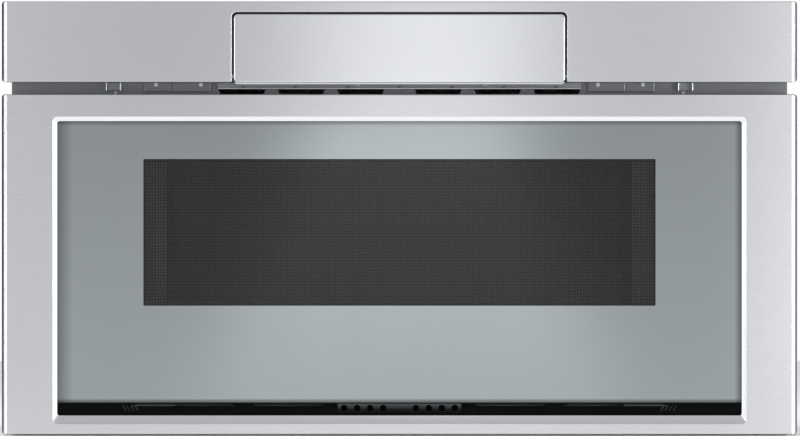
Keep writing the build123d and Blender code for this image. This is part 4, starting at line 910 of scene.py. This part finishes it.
@dataclass
class TouchPanel:
    """Generic figures on the touch glass under the cover."""

    figure_height: float = 7.0
    figures: str = "1234567890"
    pitch: float = 22.0
    lift: float = 0.05
    glass_fall: float = 6.7          # from the glass's front upper edge to its rear one
    row: float = 0.42                # the figures' place, as a share of the way to the rear

    def build(self) -> None:
        """Print the figures on the sloping glass."""
        low, high = node_span("touch_glass")
        front, rear = Vector((low.y, high.z)), Vector((high.y, high.z - self.glass_fall))
        run = rear - front
        slope = math.atan2(run.y, run.x)
        middle = front + run * self.row
        mesh_data = bmesh.new()
        for k, figure in enumerate(self.figures):
            curve = bpy.data.curves.new("figure", "FONT")
            curve.body = figure
            curve.size = self.figure_height * MM
            curve.align_x = "CENTER"
            curve.extrude = self.lift / 2 * MM
            x = (k - (len(self.figures) - 1) / 2) * self.pitch
            count = len(mesh_data.verts)
            mesh_data.from_mesh(baked(put("figure", curve)))
            mesh_data.verts.ensure_lookup_table()
            for vert in mesh_data.verts[count:]:
                along, rise = vert.co.y / MM, vert.co.z / MM + self.lift
                y = middle.x + math.cos(slope) * along - math.sin(slope) * rise
                z = middle.y + math.sin(slope) * along + math.cos(slope) * rise
                vert.co = Vector((vert.co.x / MM + x, y, z))
        attach(finish_mesh("touch_figures", mesh_data, PRINT), "flap", "black_glass")


@dataclass
class Fasteners:
    """The screws and rivets that show, each with a cross recess drawn as painted shade."""

    head_sides: int = 24
    head_height: float = 1.2
    crown: float = 0.8               # radius of the top of a head, as a share of its own
    arm_length: float = 0.9          # the recess's arms, as shares of the head's radius
    arm_width: float = 0.22
    arm_depth: float = 0.1
    strip_x: tuple[float, ...] = (-40.0, 81.6)
    strip_drop: float = 1.8
    strip_radius: float = 2.3
    clip_x: tuple[float, ...] = (-271.6, 271.6)
    clip_rise: float = 327.6
    clip_radius: float = 1.9
    case_radius: float = 4.4
    case_rows: tuple[float, ...] = (-245.0, 20.0, 290.0)     # places of the case screws along its depth
    case_inset: float = 11.0         # from the case's lower edge
    roof_places: tuple[float, ...] = (-310.0, -105.0, 105.0, 310.0)
    side_rise: float = 300.0         # upper screw of a side, near its front and rear edges

    def heads(self, name: str, points: list[tuple], normal: tuple[int, int, int], radius: float) -> None:
        """Put domed screw heads on a row of points of the cabinet, each with a cross recess drawn as painted
        shade.

        Args:
            name: the piece's name.
            points: where the heads sit, in millimetres.
            normal: the way they face.
            radius: the head's radius in millimetres.
        """
        turn = Vector((0, 0, 1)).rotation_difference(Vector(normal)).to_euler()
        for suffix, finish in (("heads", SCREW_STEEL), ("painted_recess_shade", BLACK_INK_AND_RECESS_SHADE)):
            repeat = Repeat(f"{name}_{suffix}")
            if suffix == "heads":
                shape = repeat.add("GeometryNodeMeshCone", {
                    "Vertices": self.head_sides, "Radius Bottom": repeat.size("Radius", radius),
                    "Radius Top": repeat.size("Top radius", radius * self.crown),
                    "Depth": repeat.size("Height", self.head_height), "Side Segments": 2})
            else:
                # The recess is no hollow: two thin dark bars on the head's top, painted shade.
                arm = repeat.add("GeometryNodeMeshCube", {"Size": repeat.size(
                    "Arm", (radius * self.arm_length, radius * self.arm_width, self.arm_depth))})
                lift = (0, 0, (self.head_height + CLEAR) * MM)
                arms = [repeat.add("GeometryNodeTransform", {
                    "Geometry": arm.outputs[0], "Translation": lift, "Rotation": (0, 0, turned)}).outputs[0]
                    for turned in (0, math.pi / 2)]
                shape = repeat.add("GeometryNodeJoinGeometry", {0: arms})
            many = repeat.add("GeometryNodeInstanceOnPoints", {
                "Points": repeat.source.outputs["Geometry"], "Instance": shape.outputs[0],
                "Rotation": tuple(turn)})
            piece = repeat.mesh(f"{name}_{suffix}", many.outputs[0], finish, points)
            attach(piece, "cabinet", "screw_steel")

    def build(self) -> None:
        """Put the small screws in the gap over the drawer front, and those of the case."""
        high = node_span("exhaust_strip")[1]
        wall = high.y - ExhaustStrip.stand_off
        strip = [(x, wall, high.z - self.strip_drop) for x in self.strip_x]
        self.heads("strip_screw", strip, (0, -1, 0), self.strip_radius)
        plate = node_span("fascia_bracket_left")[1].y
        clips = [(x, plate, self.clip_rise) for x in self.clip_x]
        self.heads("clip_rivet", clips, (0, -1, 0), self.clip_radius)
        self.case_screws()

    def case_screws(self) -> None:
        """Screw the case to the base, the front flange and the back plate."""
        low, high = node_span("outer_case")
        ends, foot_z = (self.case_rows[0], self.case_rows[-1]), low.z + self.case_inset
        for name, x, way in (("left_case_screw", low.x, -1), ("right_case_screw", high.x, 1)):
            places = [(x, y, foot_z) for y in self.case_rows] + [(x, y, self.side_rise) for y in ends]
            self.heads(name, places, (way, 0, 0), self.case_radius)
        roof = [(x, y, high.z) for x in self.roof_places for y in ends]
        self.heads("roof_screw", roof, (0, 0, 1), self.case_radius)
        rear = node_span("back_plate")[1].y
        foot = [(x, rear, foot_z) for x in self.roof_places[1:]]
        self.heads("rear_screw", foot, (0, 1, 0), self.case_radius)


@dataclass
class Cabinet:
    """Finishes of the CAD nodes, and the skins over the front plate's raised panels."""

    # Inner side, outer side and how proud each panel stands.
    panels: tuple[tuple[float, float, float], ...] = ((180.5, 216.5, 3.5), (216.5, 244.5, 2.0))
    panel_low: float = 328.6
    panel_high: float = 337.5
    panel_corner: float = 0.8
    fold: float = 1.3
    level_fold: float = 0.6
    over: float = 0.15               # the skin's gauge, outside the plate's own panel
    sunk: float = 0.05

    def build(self) -> None:
        """Give every CAD node the finish of its own name or of its slot, and lay the skins."""
        for part in frame["record"]["subparts"]:
            node = frame["nodes"][part["node"]]
            finish = NODE_FINISHES.get(part["node"]) or NODE_FINISHES[part["material_slot"]]
            node.data.materials.clear()
            node.data.materials.append(finish.material())
        self.panel_folds()

    def panel_folds(self) -> None:
        """Lay the rounded skins over the raised panels of the front plate."""
        plate = node_span("exhaust_strip")[1].y
        shells = []
        for side in (-1, 1):
            for inner, outer, proud in self.panels:
                corners = box_corners((outer - inner) / 2 + self.over, self.panel_low - self.over,
                                      self.panel_high, self.panel_corner, self.fold, self.level_fold,
                                      side * (inner + outer) / 2)
                shells.append([outline(corners, 0, plate - self.sunk)]
                              + rounded_edge(corners, plate - proud - self.over, steps=5))
        attach(loft("raised_panels", shells, FRONT_PLATE_PAINTED_SHADE), "cabinet", "plate_steel")


# ---------------------------------------------------------------- the studio


@dataclass(frozen=True)
class Beam:
    """A soft-edged patch of light on a card, in metres, that may widen and brighten on its way up."""

    centre: float            # middle of its width
    low: float               # height of its lower end
    high: float              # height of its upper end
    half_low: float          # half its width at each end
    half_high: float
    glow_low: float          # added strength at each end
    glow_high: float
    soft: float              # half the width of its soft edge


@dataclass(frozen=True)
class Card:
    """An even card of light, in metres, as wide as the studio or standing at one side of it."""

    name: str
    front: float             # its two ends along the depth, from the drawer's face
    rear: float
    height: float            # of a level card, or of a standing card's top
    strength: float
    side: int = 0            # -1 stands at the left, 1 at the right, 0 lies level


@dataclass(frozen=True)
class Lamp:
    """A soft light, its place and size in metres and its power in watts."""

    name: str
    place: tuple[float, float, float]
    size: tuple[float, float]
    power: float


@dataclass
class Studio:
    """Camera, floor, soft lights and the cards that only reflections see. Lengths are in metres."""

    distance: float = 12.0           # camera to the drawer's face, as a product picture is taken
    pixel: float = 0.954             # millimetres to a pixel at the drawer's face
    width_px: int = 800
    sensor: float = 36.0
    centre_x: float = 0.5            # the camera's place, in millimetres
    centre_z: float = 207.8
    clip_end: float = 50.0
    diffuse_share: float = 0.7       # the world as a light; it is 1 where it is seen
    floor_half: float = 6.0
    wall_gap: float = 0.5            # the reflected wall stands this far in front of the face
    wall_half: float = 0.52
    wall_high: float = 0.5
    wall_glow: float = 0.9
    beams: tuple[Beam, ...] = (Beam(0.011, 0.04, 0.30, 0.20, 0.102, 0.28, 0.93, 0.06),
                               Beam(0.0, 0.0, 0.30, 3.0, 3.0, 0.32, 0.04, 0.1),
                               Beam(0.0, 0.295, 0.31, 0.11, 0.11, 0.0, -0.5, 0.06),
                               Beam(0.07, 0.285, 0.325, 0.09, 0.09, 0.0, 0.16, 0.06),
                               Beam(-0.10, 0.30, 0.33, 0.02, 0.02, 0.0, 0.2, 0.07),
                               Beam(-0.21, 0.29, 0.33, 0.06, 0.06, 0.0, -0.12, 0.08),
                               Beam(0.52, 0.0, 0.4, 0.10, 0.10, 1.4, 1.3, 0.1),
                               Beam(-0.52, 0.0, 0.4, 0.10, 0.10, 0.0, 0.3, 0.1))
    side_x: float = 1.25             # the standing cards
    cards: tuple[Card, ...] = (Card("left_curtain", -2.3, -0.75, 0.6, 6.0, -1),
                               Card("left_panel", -0.75, -0.44, 0.6, 0.8, -1),
                               Card("left_slit", -0.44, -0.24, 0.6, 2.4, -1),
                               Card("left_flag", -0.24, 4.0, 1.2, 0.03, -1),
                               Card("right_curtain", -2.1, -1.0, 0.45, 23.0, 1),
                               Card("right_panel", -1.0, -0.44, 0.6, 1.0, 1),
                               Card("right_slit", -0.44, -0.22, 0.6, 3.0, 1),
                               Card("right_flag", -0.22, 4.0, 1.2, 0.3, 1),
                               Card("far_sheet", -2.0, -0.4, 0.002, 0.9),
                               Card("near_sheet", -0.4, -0.001, 0.0006, 1.35),
                               Card("overhead_flag", -0.5, 4.0, 1.2, 0.6))
    aim: tuple[float, float, float] = (0.0, 0.0, 0.2)
    lamps: tuple[Lamp, ...] = (Lamp("key", (-1.6, -2.6, 2.4), (2.2, 1.6), 50.0),
                               Lamp("fill", (2.2, -2.4, 1.2), (1.6, 1.6), 30.0),
                               Lamp("top", (0.0, 0.2, 2.6), (2.0, 2.0), 25.0))

    def camera(self) -> None:
        """Stand the camera squarely in front of the drawer's face."""
        data = bpy.data.cameras.new("camera")
        data.sensor_width = self.sensor
        data.lens = self.sensor * self.distance / (self.width_px * self.pixel * MM)
        data.clip_end = self.clip_end
        camera = put("camera", data)
        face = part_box("drawer_frame")[0].y
        camera.location = (self.centre_x * MM, face - self.distance, self.centre_z * MM)
        camera.rotation_euler = (math.pi / 2, 0, 0)
        bpy.context.scene.camera = camera

    def world(self) -> None:
        """White to the camera and in reflections, a little softer as a light."""
        world = bpy.data.worlds.new("studio")
        bpy.context.scene.world = world
        world.use_nodes = True
        tree = world.node_tree
        background = tree.nodes["Background"]
        rays = add_node(tree, "ShaderNodeLightPath").outputs
        seen = rays["Is Camera Ray"]
        for ray in ("Is Glossy Ray", "Is Transmission Ray"):
            seen = add_node(tree, "ShaderNodeMath", {0: seen, 1: rays[ray]}, operation="MAXIMUM").outputs[0]
        strength = add_node(tree, "ShaderNodeMapRange",
                            {"Value": seen, "To Min": self.diffuse_share, "To Max": 1.0})
        background.inputs["Color"].default_value = (1, 1, 1, 1)
        tree.links.new(strength.outputs[0], background.inputs["Strength"])

    def hang(self, name: str, corners: list[tuple], strength: float, beams: tuple[Beam, ...] = ()) -> None:
        """Hang a glowing card that only reflections see.

        Args:
            name: the card's name.
            corners: its four corners, in metres.
            strength: how bright it is.
            beams: brighter patches on it.
        """
        mesh = bpy.data.meshes.new(name)
        mesh.from_pydata(corners, [], [(0, 1, 2, 3)])
        material = bpy.data.materials.new(name)
        material.use_nodes = True
        tree = material.node_tree
        tree.nodes.remove(tree.nodes["Principled BSDF"])
        place = add_node(tree, "ShaderNodeTexCoord").outputs["Object"]
        axes = add_node(tree, "ShaderNodeSeparateXYZ", {0: place})
        total = strength
        for beam in beams:
            half, glow = [add_node(tree, "ShaderNodeMapRange", {
                "Value": axes.outputs["Z"], "From Min": beam.low, "From Max": beam.high,
                "To Min": low, "To Max": high}).outputs[0]
                for low, high in ((beam.half_low, beam.half_high), (beam.glow_low, beam.glow_high))]
            off = add_node(tree, "ShaderNodeMath", {0: axes.outputs["X"], 1: beam.centre},
                           operation="SUBTRACT")
            off = add_node(tree, "ShaderNodeMath", {0: off.outputs[0]}, operation="ABSOLUTE")
            beyond = add_node(tree, "ShaderNodeMath", {0: off.outputs[0], 1: half}, operation="SUBTRACT")
            fade = add_node(tree, "ShaderNodeMapRange", {
                "Value": beyond.outputs[0], "From Min": -beam.soft, "From Max": beam.soft,
                "To Min": 1.0, "To Max": 0.0}, interpolation_type="SMOOTHSTEP")
            total = add_node(tree, "ShaderNodeMath", {0: fade.outputs[0], 1: glow, 2: total},
                             operation="MULTIPLY_ADD").outputs[0]
        light = add_node(tree, "ShaderNodeEmission", {"Strength": total})
        tree.links.new(light.outputs[0], tree.nodes["Material Output"].inputs["Surface"])
        mesh.materials.append(material)
        card = put(name, mesh)
        card.visible_camera = False
        card.visible_diffuse = False
        card.visible_shadow = False
        card.visible_transmission = False

    def surround(self) -> None:
        """Hang the wall and the cards round the object."""
        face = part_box("drawer_frame")[0].y
        wall, half, high = face - self.wall_gap, self.wall_half, self.wall_high
        self.hang("wall", [(-half, wall, 0), (half, wall, 0), (half, wall, high), (-half, wall, high)],
                  self.wall_glow, self.beams)
        for card in self.cards:
            x, top, front, rear = self.side_x, card.height, face + card.front, face + card.rear
            if card.side:
                x *= card.side
                corners = [(x, front, 0), (x, rear, 0), (x, rear, top), (x, front, top)]
            else:
                corners = [(-x, front, top), (x, front, top), (x, rear, top), (-x, rear, top)]
            self.hang(card.name, corners, card.strength)

    def light(self, lamp: Lamp) -> None:
        """Hang one soft light that doesn't show in reflections.

        Args:
            lamp: its place, size and power.
        """
        data = bpy.data.lights.new(lamp.name, "AREA")
        data.shape = "RECTANGLE"
        data.size, data.size_y = lamp.size
        data.energy = lamp.power
        light = put(lamp.name, data)
        light.location = lamp.place
        light.rotation_euler = (Vector(self.aim) - Vector(lamp.place)).to_track_quat("-Z", "Y").to_euler()
        light.visible_glossy = False

    def floor(self) -> None:
        """Lay the pale floor under the object."""
        mesh_data = bmesh.new()
        half = self.floor_half / MM
        mesh_data.faces.new([mesh_data.verts.new((x, y, 0)) for x, y in
                             ((-half, -half), (half, -half), (half, half), (-half, half))])
        finish_mesh("floor", mesh_data, FLOOR)

    def build(self) -> None:
        """Set up the whole studio."""
        bpy.context.scene.view_settings.view_transform = "Standard"
        self.camera()
        self.world()
        self.floor()
        self.surround()
        for lamp in self.lamps:
            self.light(lamp)


# ---------------------------------------------------------------- making it


def main() -> None:
    """Build the sub-assemblies in order."""
    logging.basicConfig(level=logging.INFO, format="%(name)s: %(message)s")
    for part in (Studio(), Cabinet(), DoorFrame(), DoorGlass(), Fascia(), ControlCover(), ExhaustStrip(),
                 FasciaBracket(), AirLedge(), Fasteners(), TouchPanel()):
        part.build()


if __name__ == "__main__":
    main()
